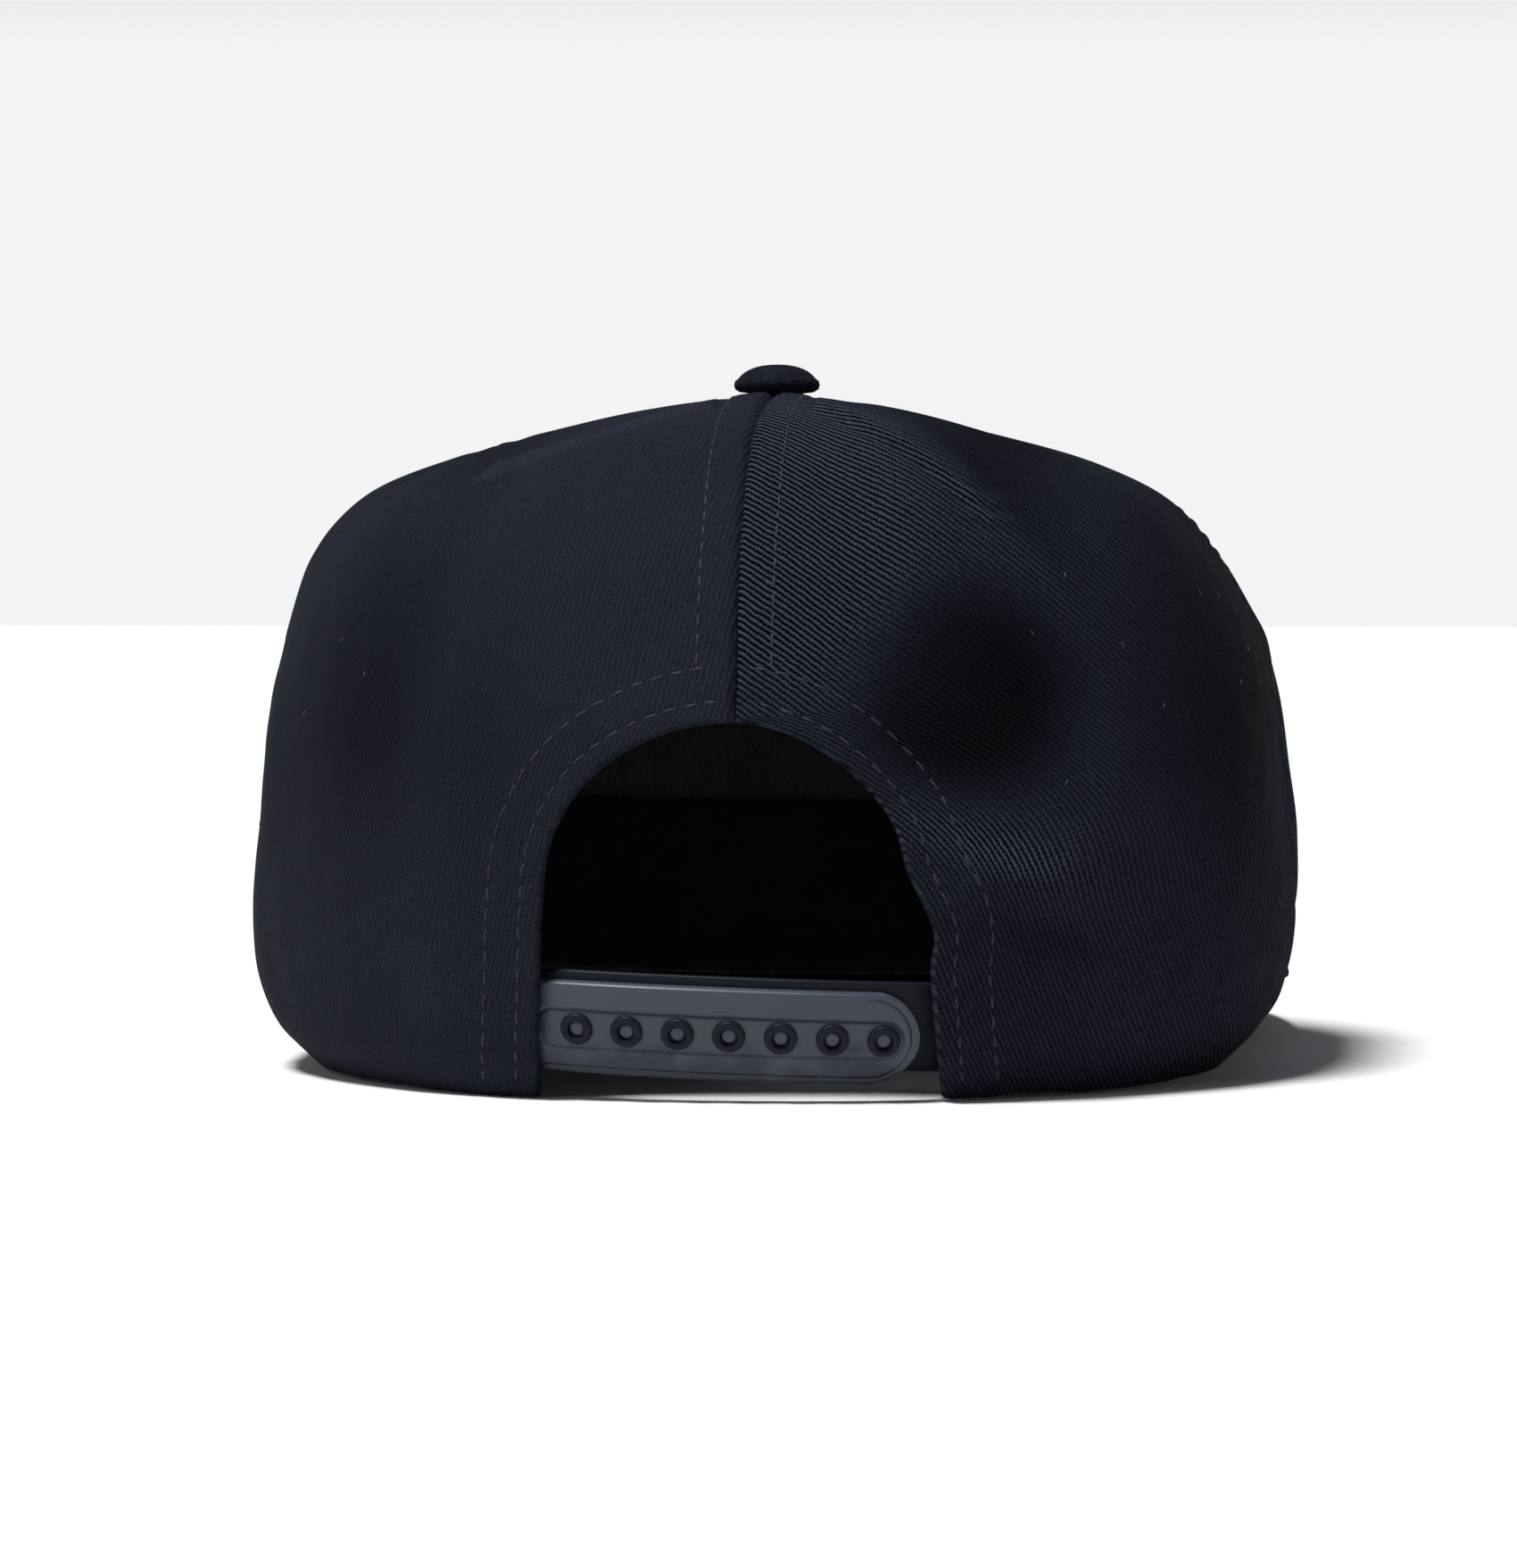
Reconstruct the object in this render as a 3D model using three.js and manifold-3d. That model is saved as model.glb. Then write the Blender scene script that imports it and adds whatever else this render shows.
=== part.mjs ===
// Flat-brim snapback cap, in millimetres: +Z up, brim towards -Y, the wearer's left towards +X.
// The cap rests on its rear rim and on the front edge of its brim.
import * as THREE from "three";
import { mergeVertices } from "three/addons/utils/BufferGeometryUtils.js";
import Module from "manifold-3d";

// Crown
const CROWN_HEIGHT = 118.8;
const HALF_WIDTH = 94;
const REAR_REACH = 95;
const FRONT_REACH = 99;
const CROWN_ROUNDNESS = 2.2;
const CORNER_SWELL = 3.5;
const CORNER_AZIMUTH = 113;
const CORNER_SPREAD = 22;
const RIM_RISE_AZIMUTH = 62;
const CLOTH = 1.8;
const GAP = 0.3;
const SIDE_SEAM_AZIMUTH = 100;
const DART_AZIMUTH = 42;
const DART_RIDGE = 1.4;
const DART_HALF_WIDTH = 4;
const SEAM_DIP = 1.3;
const SEAM_HALF_WIDTH = 6;
const DENT_DEPTH = 4;

// Rear opening
const ARCH_HALF_WIDTH = 31;
const ARCH_FOOT_HALF_WIDTH = 34;
const ARCH_SPRING_HEIGHT = 36;
const ARCH_RISE = 27;

// Brim
const BRIM_LENGTH = 69;
const BRIM_SIDE_OVERHANG = 3;
const BRIM_THICKNESS = 3.4;
const BRIM_TILT = 4.9;
const BRIM_ROUNDNESS = 2.5;

// Button
const BUTTON_RADIUS = 7.6;
const BUTTON_HEIGHT = 5;
const BUTTON_TURN = 1;
const SHANK_RADIUS = 2.6;
const SHANK_CLEARANCE = 1;
const SHANK_LENGTH = 3;

// Sweatband
const BAND_HEIGHT = 35;
const BAND_THICKNESS = 1.2;
const BAND_LIFT = 1;
const BAND_INSET = 2;
const BAND_CLEARANCE = 0.6;

// Snap closure
const STRAP_WIDTH = 17;
const STRAP_THICKNESS = 1.5;
const STRAP_LIFT = 2.1;
const STRAP_SLOPE = 0.022;
const STRAP_OVERLAP = 12;
const STRAP_END_CLEARANCE = 2.3;
const SNAP_PITCH = 8.8;
const SNAP_END_MARGIN = 6.3;
const PEG_RADIUS = 1.3;
const PEG_RECESS = 0.4;
const COLLAR_RADIUS = 2.6;
const COLLAR_RISE = 0.5;

// Facets
const ROUND_SIDES = 12;
const ARCH_STEPS = 20;
const BRIM_STEPS = 30;
const DOME_STEPS = 6;
const DOME_SIDES = 24;
const PANEL_ROWS = 20;
const REAR_COLUMNS = [9, 11];
const FRONT_COLUMNS = [15, 15];
const BAND_COLUMNS = 60;
const BAND_ROWS = 5;
const STRAP_COLUMNS = 15;
const STRAP_ROWS = [-1, -0.7, -0.35, 0, 0.35, 0.7, 1];
const STRAP_END_TURNS = [15, 30, 50, 70, 90];

// Meridians of the crown from rim to button, as shares of the reach and of the height above the rim.
const MERIDIANS = [
  { rearOut: 0.93, rearUp: 0, sideOut: 0.87, sideUp: 0, frontOut: 0.975, frontUp: 0 },
  { rearOut: 0.975, rearUp: 0.07, sideOut: 0.95, sideUp: 0.06, frontOut: 0.995, frontUp: 0.07 },
  { rearOut: 1, rearUp: 0.17, sideOut: 0.985, sideUp: 0.14, frontOut: 1, frontUp: 0.16 },
  { rearOut: 1, rearUp: 0.29, sideOut: 0.987, sideUp: 0.25, frontOut: 0.99, frontUp: 0.28 },
  { rearOut: 0.985, rearUp: 0.42, sideOut: 0.97, sideUp: 0.38, frontOut: 0.97, frontUp: 0.41 },
  { rearOut: 0.955, rearUp: 0.54, sideOut: 0.956, sideUp: 0.51, frontOut: 0.94, frontUp: 0.54 },
  { rearOut: 0.905, rearUp: 0.66, sideOut: 0.93, sideUp: 0.63, frontOut: 0.9, frontUp: 0.66 },
  { rearOut: 0.83, rearUp: 0.77, sideOut: 0.875, sideUp: 0.745, frontOut: 0.845, frontUp: 0.775 },
  { rearOut: 0.715, rearUp: 0.865, sideOut: 0.777, sideUp: 0.835, frontOut: 0.75, frontUp: 0.865 },
  { rearOut: 0.57, rearUp: 0.93, sideOut: 0.622, sideUp: 0.893, frontOut: 0.61, frontUp: 0.93 },
  { rearOut: 0.4, rearUp: 0.968, sideOut: 0.433, sideUp: 0.935, frontOut: 0.44, frontUp: 0.967 },
  { rearOut: 0.21, rearUp: 0.99, sideOut: 0.24, sideUp: 0.972, frontOut: 0.23, frontUp: 0.988 },
  { rearOut: 0, rearUp: 1, sideOut: 0, sideUp: 1, frontOut: 0, frontUp: 1 },
];

// Soft dents and folds: azimuth and spread in degrees, rise and tall as shares of the crown height,
// lean as rise for each degree, swell as a share of the dent depth, outwards positive.
const FORMS = [
  { azimuth: -29, rise: 0.57, spread: 13, tall: 0.15, lean: 0, swell: -1 },
  { azimuth: -28, rise: 0.3, spread: 12, tall: 0.045, lean: -0.0045, swell: 0.5 },
  { azimuth: -62, rise: 0.42, spread: 9, tall: 0.3, lean: 0, swell: 0.25 },
  { azimuth: 43, rise: 0.67, spread: 13, tall: 0.13, lean: 0, swell: -0.6 },
  { azimuth: 31, rise: 0.45, spread: 5, tall: 0.22, lean: 0, swell: 0.35 },
  { azimuth: 66, rise: 0.36, spread: 6, tall: 0.26, lean: 0, swell: 0.3 },
  { azimuth: 82, rise: 0.34, spread: 6, tall: 0.3, lean: 0, swell: -0.4 },
  { azimuth: -95, rise: 0.74, spread: 26, tall: 0.17, lean: 0, swell: -1.2 },
  { azimuth: 150, rise: 0.55, spread: 16, tall: 0.25, lean: 0, swell: -0.25 },
  { azimuth: -150, rise: 0.55, spread: 16, tall: 0.25, lean: 0, swell: -0.25 },
];

const FRONT_EDGE_Y = -(FRONT_REACH + BRIM_LENGTH);

const wasm = await Module();
wasm.setup();

const radians = THREE.MathUtils.degToRad;
const degrees = THREE.MathUtils.radToDeg;
const signed = (azimuth) => ((((azimuth + 180) % 360) + 360) % 360) - 180;
const bump = (distance, width) => Math.exp(-((distance / width) ** 2));

// A smooth curve through one column of the meridian table, at a share of the way up.
function column(name, share) {
  const last = MERIDIANS.length - 1;
  const at = Math.min(Math.max(share, 0), 1) * last;
  const row = Math.min(Math.floor(at), last - 1);
  const value = (i) => MERIDIANS[Math.min(Math.max(i, 0), last)][name];
  const before = (value(row + 1) - value(row - 1)) / 2;
  const after = (value(row + 2) - value(row)) / 2;
  const t = at - row;
  const rest = 1 - t;
  const ends = value(row) * rest * rest * (1 + 2 * t) + value(row + 1) * t * t * (3 - 2 * t);
  return ends + before * t * rest * rest - after * t * t * rest;
}

// The rear and front columns fade into the side column round the crown.
function blended(kind, azimuth, share) {
  const cosine = Math.cos(radians(azimuth));
  const end = (cosine > 0 ? "rear" : "front") + kind;
  const side = column("side" + kind, share);
  return side + (column(end, share) - side) * cosine * cosine;
}

// The crown's widest plan outline, with fuller front corners.
function planRadius(azimuth) {
  const across = Math.abs(Math.sin(radians(azimuth))) / HALF_WIDTH;
  const along = Math.cos(radians(azimuth));
  const reach = along > 0 ? REAR_REACH : FRONT_REACH;
  const corner = CORNER_SWELL * bump(Math.abs(signed(azimuth)) - CORNER_AZIMUTH, CORNER_SPREAD);
  const sum = across ** CROWN_ROUNDNESS + Math.abs(along / reach) ** CROWN_ROUNDNESS;
  return sum ** (-1 / CROWN_ROUNDNESS) + corner;
}

// Height of the brim's underside above the surface that the cap rests on.
const brimPlane = (y) => (y - FRONT_EDGE_Y) * Math.tan(radians(BRIM_TILT));

function rimHeight(azimuth) {
  const y = planRadius(azimuth) * blended("Out", azimuth, 0) * Math.cos(radians(azimuth));
  const turn = Math.abs(signed(azimuth));
  return brimPlane(y) * THREE.MathUtils.smoothstep(turn, RIM_RISE_AZIMUTH, CORNER_AZIMUTH);
}

function basePoint(azimuth, share) {
  const radius = planRadius(azimuth) * blended("Out", azimuth, share);
  const rim = rimHeight(azimuth);
  return new THREE.Vector3(
    radius * Math.sin(radians(azimuth)),
    radius * Math.cos(radians(azimuth)),
    rim + (CROWN_HEIGHT - rim) * blended("Up", azimuth, share),
  );
}

function baseNormal(azimuth, share) {
  const step = 0.01;
  const low = Math.min(share - step, 1 - 2 * step);
  const along = basePoint(azimuth, low + 2 * step).sub(basePoint(azimuth, low));
  const around = basePoint(azimuth + 1, low + step).sub(basePoint(azimuth - 1, low + step));
  return along.cross(around).normalize();
}

// How far the cloth stands off the plain crown: dart ridges, seam dips, soft dents and folds.
function relief(azimuth, share) {
  const turn = signed(azimuth);
  const radius = planRadius(azimuth) * blended("Out", azimuth, share);
  const rise = blended("Up", azimuth, share);
  const apart = (line) => radians(Math.abs(turn) - line) * radius;
  const upper = THREE.MathUtils.smoothstep(rise, 0.7, 0.87);
  let total = DART_RIDGE * upper * bump(apart(DART_AZIMUTH), DART_HALF_WIDTH);
  total -= SEAM_DIP * upper * bump(apart(SIDE_SEAM_AZIMUTH), SEAM_HALF_WIDTH);
  for (const form of FORMS) {
    const off = signed(turn - form.azimuth);
    const high = rise - form.rise - form.lean * off;
    total += DENT_DEPTH * form.swell * bump(off, form.spread) * bump(high, form.tall);
  }
  const clearOfButton = THREE.MathUtils.smoothstep(radius, SHANK_RADIUS, 2 * BUTTON_RADIUS);
  return total * THREE.MathUtils.smoothstep(rise, 0, 0.12) * clearOfButton;
}

// A point of the crown, or of a layer that lies the given depth inside its outer face.
function crownPoint(azimuth, share, depth = 0) {
  const normal = baseNormal(azimuth, share);
  return basePoint(azimuth, share).addScaledVector(normal, relief(azimuth, share) - depth);
}

// The share of the way up to which the plain crown's points keep passing a test.
function lastShare(azimuth, test) {
  let low = 0;
  let high = 1;
  for (let i = 0; i < 24; i++) {
    const middle = (low + high) / 2;
    if (test(basePoint(azimuth, middle))) low = middle;
    else high = middle;
  }
  return low;
}

const shareAtHeight = (azimuth, height) => lastShare(azimuth, (point) => point.z < height);
const shareAtRadius = (azimuth, radius) =>
  lastShare(azimuth, (point) => Math.hypot(point.x, point.y) > radius);

// A closed wall between two grids of points, each a list of columns.
function wall(outer, inner) {
  const columns = outer.length;
  const rows = outer[0].length;
  const positions = [...outer.flat(), ...inner.flat()].flatMap((p) => [p.x, p.y, p.z]);
  const out = (i, j) => i * rows + j;
  const back = (i, j) => columns * rows + i * rows + j;
  const faces = [];
  const quad = (a, b, c, d) => faces.push(a, b, c, a, c, d);
  for (let i = 0; i < columns - 1; i++) {
    for (let j = 0; j < rows - 1; j++) {
      quad(out(i, j), out(i, j + 1), out(i + 1, j + 1), out(i + 1, j));
      quad(back(i, j), back(i + 1, j), back(i + 1, j + 1), back(i, j + 1));
    }
    quad(out(i, 0), out(i + 1, 0), back(i + 1, 0), back(i, 0));
    quad(out(i, rows - 1), back(i, rows - 1), back(i + 1, rows - 1), out(i + 1, rows - 1));
  }
  for (let j = 0; j < rows - 1; j++) {
    quad(out(0, j), back(0, j), back(0, j + 1), out(0, j + 1));
    const end = columns - 1;
    quad(out(end, j), out(end, j + 1), back(end, j + 1), back(end, j));
  }
  const geometry = new THREE.BufferGeometry();
  geometry.setAttribute("position", new THREE.Float32BufferAttribute(positions, 3));
  geometry.setIndex(faces);
  return geometry;
}

function toSolid(geometry) {
  const bare = geometry.clone();
  bare.deleteAttribute("normal");
  bare.deleteAttribute("uv");
  const merged = mergeVertices(bare, 1e-4);
  return new wasm.Manifold(
    new wasm.Mesh({
      numProp: 3,
      vertProperties: merged.attributes.position.array,
      triVerts: new Uint32Array(merged.index.array),
    }),
  );
}

function toGeometry(solid) {
  const mesh = solid.getMesh();
  const geometry = new THREE.BufferGeometry();
  geometry.setAttribute("position", new THREE.BufferAttribute(mesh.vertProperties, 3));
  geometry.setIndex(new THREE.BufferAttribute(mesh.triVerts, 1));
  geometry.computeVertexNormals();
  return geometry;
}

// Azimuths between the given lines, closer together beside each line.
function azimuthsBetween(lines, counts) {
  const list = [lines[0]];
  counts.forEach((count, part) => {
    for (let i = 1; i <= count; i++) {
      const eased = (1 - Math.cos((Math.PI * i) / count)) / 2;
      list.push(lines[part] + (lines[part + 1] - lines[part]) * eased);
    }
  });
  return list;
}

// Shares of the way up a panel, from the rim to the hole for the button's shank.
function panelShares(azimuth) {
  const top = shareAtRadius(azimuth, SHANK_RADIUS + SHANK_CLEARANCE);
  return Array.from({ length: PANEL_ROWS + 1 }, (_, j) => (top * j) / PANEL_ROWS);
}

// A cloth panel between its first and last seam line, half a gap short of each.
function panelGeometry(lines, counts) {
  const azimuths = azimuthsBetween(lines, counts);
  const first = lines[0];
  const last = lines[lines.length - 1];
  const grid = (depth) =>
    azimuths.map((azimuth) =>
      panelShares(azimuth).map((share) => {
        const radius = planRadius(azimuth) * blended("Out", azimuth, share);
        const inset = degrees(GAP / 2 / radius);
        const held = THREE.MathUtils.clamp(azimuth, first + inset, last - inset);
        const point = crownPoint(held, share, depth);
        if (share === 0) point.z = rimHeight(held);
        return point;
      }),
    );
  return wall(grid(0), grid(CLOTH));
}

// The arched opening as a block that runs through the rear wall.
function archCutter() {
  const outline = new THREE.Shape();
  outline.moveTo(-ARCH_FOOT_HALF_WIDTH, -CLOTH);
  outline.lineTo(-ARCH_FOOT_HALF_WIDTH, 0);
  outline.lineTo(-ARCH_HALF_WIDTH, ARCH_SPRING_HEIGHT);
  outline.absellipse(0, ARCH_SPRING_HEIGHT, ARCH_HALF_WIDTH, ARCH_RISE, Math.PI, 0, true);
  outline.lineTo(ARCH_FOOT_HALF_WIDTH, 0);
  outline.lineTo(ARCH_FOOT_HALF_WIDTH, -CLOTH);
  const block = new THREE.ExtrudeGeometry(outline, {
    depth: REAR_REACH,
    bevelEnabled: false,
    curveSegments: ARCH_STEPS,
  });
  return block.rotateX(Math.PI / 2).translate(0, REAR_REACH + REAR_REACH / 2, 0);
}

function rearPanel(side) {
  const lines = [0, DART_AZIMUTH * side, SIDE_SEAM_AZIMUTH * side];
  const counts = [...REAR_COLUMNS];
  if (side < 0) {
    lines.reverse();
    counts.reverse();
  }
  return toGeometry(toSolid(panelGeometry(lines, counts)).subtract(toSolid(archCutter())));
}

function frontPanel() {
  return panelGeometry([SIDE_SEAM_AZIMUTH, 180, 360 - SIDE_SEAM_AZIMUTH], FRONT_COLUMNS);
}

// Flat board, cut in plan to the crown's rim on one side and to a rounded outline on the other.
function brimGeometry() {
  const outline = new THREE.Shape();
  for (let i = 0; i <= BRIM_STEPS; i++) {
    const azimuth = CORNER_AZIMUTH + ((360 - 2 * CORNER_AZIMUTH) * i) / BRIM_STEPS;
    const foot = crownPoint(azimuth, shareAtHeight(azimuth, rimHeight(azimuth) + BRIM_THICKNESS));
    const radius = Math.hypot(foot.x, foot.y) + GAP;
    const x = radius * Math.sin(radians(azimuth));
    const y = radius * Math.cos(radians(azimuth));
    if (i === 0) outline.moveTo(x, y);
    else outline.lineTo(x, y);
  }
  const cornerX = planRadius(CORNER_AZIMUTH) * Math.sin(radians(CORNER_AZIMUTH));
  const cornerY = planRadius(CORNER_AZIMUTH) * Math.cos(radians(CORNER_AZIMUTH));
  const power = 2 / BRIM_ROUNDNESS;
  for (let i = 0; i <= BRIM_STEPS; i++) {
    const turn = Math.PI + (Math.PI * i) / BRIM_STEPS;
    const across = Math.sign(Math.cos(turn)) * Math.abs(Math.cos(turn)) ** power;
    const forward = Math.abs(Math.sin(turn)) ** power;
    const x = (cornerX + BRIM_SIDE_OVERHANG) * across;
    outline.lineTo(x, cornerY + (FRONT_EDGE_Y - cornerY) * forward);
  }
  outline.closePath();
  const board = new THREE.ExtrudeGeometry(outline, { depth: BRIM_THICKNESS, bevelEnabled: false });
  const lean = new THREE.Matrix4().makeShear(0, 0, 0, Math.tan(radians(BRIM_TILT)), 0, 0);
  return board.translate(0, -FRONT_EDGE_Y, 0).applyMatrix4(lean).translate(0, FRONT_EDGE_Y, 0);
}

// Covered dome with the shank that holds the panels under it.
function buttonGeometry() {
  const base = CROWN_HEIGHT + GAP;
  const profile = [
    new THREE.Vector2(0, base - SHANK_LENGTH),
    new THREE.Vector2(SHANK_RADIUS, base - SHANK_LENGTH),
    new THREE.Vector2(SHANK_RADIUS, base),
    new THREE.Vector2(BUTTON_RADIUS - BUTTON_TURN / 2, base),
  ];
  for (let i = 0; i < DOME_STEPS; i++) {
    const turn = (Math.PI / 2) * (i / DOME_STEPS);
    const height = BUTTON_TURN + (BUTTON_HEIGHT - BUTTON_TURN) * Math.sin(turn);
    profile.push(new THREE.Vector2(BUTTON_RADIUS * Math.cos(turn), base + height));
  }
  profile.push(new THREE.Vector2(0, base + BUTTON_HEIGHT));
  return new THREE.LatheGeometry(profile, DOME_SIDES).rotateX(Math.PI / 2);
}

// Extra depth of the sweatband where the two straps lie behind it.
function strapRoom(azimuth) {
  const along = radians(Math.abs(signed(azimuth))) * REAR_REACH;
  const strapEnd = ARCH_FOOT_HALF_WIDTH + STRAP_OVERLAP;
  const past = THREE.MathUtils.smoothstep(along, strapEnd, strapEnd + STRAP_OVERLAP);
  return 2 * (STRAP_THICKNESS + GAP) * (1 - past);
}

function sweatbandGeometry() {
  const start = degrees((ARCH_FOOT_HALF_WIDTH + BAND_INSET) / REAR_REACH);
  const grid = (extra) =>
    Array.from({ length: BAND_COLUMNS + 1 }, (_, i) => {
      const azimuth = start + ((360 - 2 * start) * i) / BAND_COLUMNS;
      return Array.from({ length: BAND_ROWS + 1 }, (_, j) => {
        const height = rimHeight(azimuth) + BAND_LIFT + (BAND_HEIGHT * j) / BAND_ROWS;
        const depth = CLOTH + BAND_CLEARANCE + strapRoom(azimuth) + extra;
        return crownPoint(azimuth, shareAtHeight(azimuth, height), depth);
      });
    });
  return wall(grid(0), grid(BAND_THICKNESS));
}

// A point of a strap, from its distance round the rear, its height and its depth inside the crown.
// The fastened closure climbs a little towards the wearer's left.
function strapPoint(along, height, depth) {
  const azimuth = degrees(along / REAR_REACH);
  return crownPoint(azimuth, shareAtHeight(azimuth, height + along * STRAP_SLOPE), depth);
}

// A strap from a square end to a round end, one layer deep in the closure.
function strapBlank(square, tip, layer) {
  const half = STRAP_WIDTH / 2;
  const way = Math.sign(tip - square);
  const stations = STRAP_END_TURNS.map((turn) => ({
    along: tip - way * half * (1 - Math.cos(radians(turn))),
    half: half * Math.sin(radians(turn)),
  }));
  const bodyEnd = tip - way * half;
  for (let i = 1; i <= STRAP_COLUMNS; i++) {
    stations.push({ along: bodyEnd + ((square - bodyEnd) * i) / STRAP_COLUMNS, half });
  }
  if (way > 0) stations.reverse();
  const middle = STRAP_LIFT + half;
  const top = CLOTH + GAP + layer * (STRAP_THICKNESS + GAP);
  const grid = (depth) =>
    stations.map((station) =>
      STRAP_ROWS.map((share) => strapPoint(station.along, middle + station.half * share, depth)),
    );
  return toSolid(wall(grid(top), grid(top + STRAP_THICKNESS)));
}

// The snaps run along the closure from its round end for as far as the opening shows them.
const socketTip = STRAP_END_CLEARANCE - ARCH_FOOT_HALF_WIDTH;
const firstSnap = socketTip + SNAP_END_MARGIN;
const snapSteps = Math.floor((ARCH_HALF_WIDTH - COLLAR_RADIUS - firstSnap) / SNAP_PITCH);
const snapPlaces = Array.from({ length: snapSteps + 1 }, (_, i) => firstSnap + SNAP_PITCH * i);

// A round pin through the closure at one snap, between two depths.
function snapPin(along, radius, outerDepth, innerDepth) {
  const height = STRAP_LIFT + STRAP_WIDTH / 2;
  const start = strapPoint(along, height, outerDepth);
  const end = strapPoint(along, height, innerDepth);
  const pin = new THREE.CylinderGeometry(radius, radius, start.distanceTo(end), ROUND_SIDES);
  const way = new THREE.Vector3().subVectors(start, end).normalize();
  pin.applyQuaternion(new THREE.Quaternion().setFromUnitVectors(new THREE.Vector3(0, 1, 0), way));
  const centre = start.add(end).multiplyScalar(0.5);
  return toSolid(pin.translate(centre.x, centre.y, centre.z));
}

function socketStrap() {
  const face = CLOTH + GAP;
  const back = face + STRAP_THICKNESS;
  let strap = strapBlank(ARCH_FOOT_HALF_WIDTH + STRAP_OVERLAP, socketTip, 0);
  for (const along of snapPlaces) {
    strap = strap.add(snapPin(along, COLLAR_RADIUS, face - COLLAR_RISE, face + STRAP_THICKNESS / 2));
    strap = strap.subtract(snapPin(along, PEG_RADIUS + GAP, face - 2 * COLLAR_RISE, back + GAP / 2));
  }
  return toGeometry(strap);
}

function pegStrap() {
  const face = CLOTH + 2 * GAP + STRAP_THICKNESS;
  let strap = strapBlank(-(ARCH_FOOT_HALF_WIDTH + STRAP_OVERLAP), -socketTip, 1);
  for (const along of snapPlaces) {
    strap = strap.add(snapPin(along, PEG_RADIUS, CLOTH + GAP + PEG_RECESS, face + STRAP_THICKNESS / 2));
  }
  return toGeometry(strap);
}

function piece(name, geometry, color, roughness) {
  const mesh = new THREE.Mesh(geometry, new THREE.MeshStandardMaterial({ color, roughness, metalness: 0 }));
  mesh.name = name;
  return mesh;
}

const cap = new THREE.Group();
cap.add(
  piece("front_panel", frontPanel(), 0x14161c, 0.92),
  piece("left_panel", rearPanel(1), 0x14161c, 0.92),
  piece("right_panel", rearPanel(-1), 0x14161c, 0.92),
  piece("button", buttonGeometry(), 0x14161c, 0.92),
  piece("brim", brimGeometry(), 0x14161c, 0.92),
  piece("sweatband", sweatbandGeometry(), 0x0c0c0f, 0.95),
  piece("socket_strap", socketStrap(), 0x2a2e36, 0.4),
  piece("peg_strap", pegStrap(), 0x2a2e36, 0.4),
);

// The part's origin is the middle of the bottom of its box.
const box = new THREE.Box3().setFromObject(cap);
const centre = box.getCenter(new THREE.Vector3());
cap.position.set(-centre.x, -centre.y, -box.min.z);

const part = new THREE.Group();
part.add(cap);
export default part;
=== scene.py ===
import math

import bpy
import numpy as np
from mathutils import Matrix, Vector


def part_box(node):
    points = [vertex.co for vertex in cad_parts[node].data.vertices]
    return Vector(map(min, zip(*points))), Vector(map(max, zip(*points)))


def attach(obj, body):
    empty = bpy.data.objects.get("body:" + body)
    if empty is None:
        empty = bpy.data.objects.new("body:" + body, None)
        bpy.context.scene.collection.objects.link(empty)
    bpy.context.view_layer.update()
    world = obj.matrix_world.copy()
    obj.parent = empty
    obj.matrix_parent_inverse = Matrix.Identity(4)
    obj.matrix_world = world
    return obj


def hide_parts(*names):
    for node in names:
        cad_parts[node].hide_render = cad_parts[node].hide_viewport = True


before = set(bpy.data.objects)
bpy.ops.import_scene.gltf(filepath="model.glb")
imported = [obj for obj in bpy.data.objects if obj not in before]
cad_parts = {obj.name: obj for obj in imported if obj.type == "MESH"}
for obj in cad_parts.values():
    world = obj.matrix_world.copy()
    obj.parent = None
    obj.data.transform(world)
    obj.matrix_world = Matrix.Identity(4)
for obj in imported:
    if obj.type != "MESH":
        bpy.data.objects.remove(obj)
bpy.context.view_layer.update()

# A black cotton-twill snapback cap, resting on a pale floor and seen from behind.
# Lengths are in millimetres and the crown's axis is the local origin, until a mesh is made.
MM = 0.001

# Sizes shared with the frame's solids
CROWN_HEIGHT = 118.8
HALF_WIDTH = 94.0
REAR_REACH = 95.0
FRONT_REACH = 99.0
CROWN_ROUNDNESS = 2.2
CORNER_SWELL = 3.5
CORNER_AZIMUTH = 113.0
CORNER_SPREAD = 22.0
RIM_RISE_AZIMUTH = 62.0
CLOTH = 1.8
GAP = 0.3
SIDE_SEAM_AZIMUTH = 100.0
DART_AZIMUTH = 42.0
DART_HALF_WIDTH = 4.0
SEAM_DIP = 1.3
SEAM_HALF_WIDTH = 6.0
DENT_DEPTH = 4.0
ARCH_HALF_WIDTH = 31.0
ARCH_FOOT_HALF_WIDTH = 34.0
ARCH_SPRING_HEIGHT = 36.0
ARCH_RISE = 27.0
BRIM_LENGTH = 69.0
BRIM_THICKNESS = 3.4
BRIM_TILT = 4.9
BRIM_ROUNDNESS = 2.5
BUTTON_RADIUS = 7.6
BUTTON_HEIGHT = 5.0
SHANK_RADIUS = 2.6
SHANK_DEPTH = 3.0
SHANK_CLEARANCE = 1.0
BAND_HEIGHT = 35.0
BAND_THICKNESS = 1.2
BAND_LIFT = 1.0
BAND_INSET = 2.0
BAND_CLEARANCE = 0.6
STRAP_WIDTH = 17.0
STRAP_THICKNESS = 1.5
STRAP_LIFT = 2.1
STRAP_OVERLAP = 12.0
STRAP_END_CLEARANCE = 2.3
SNAP_PITCH = 8.8
SNAP_END_MARGIN = 6.3
PEG_RADIUS = 1.3
PEG_RECESS = 0.4
COLLAR_RADIUS = 2.6
COLLAR_RISE = 0.5
FRONT_EDGE_Y = -(FRONT_REACH + BRIM_LENGTH)
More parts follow.
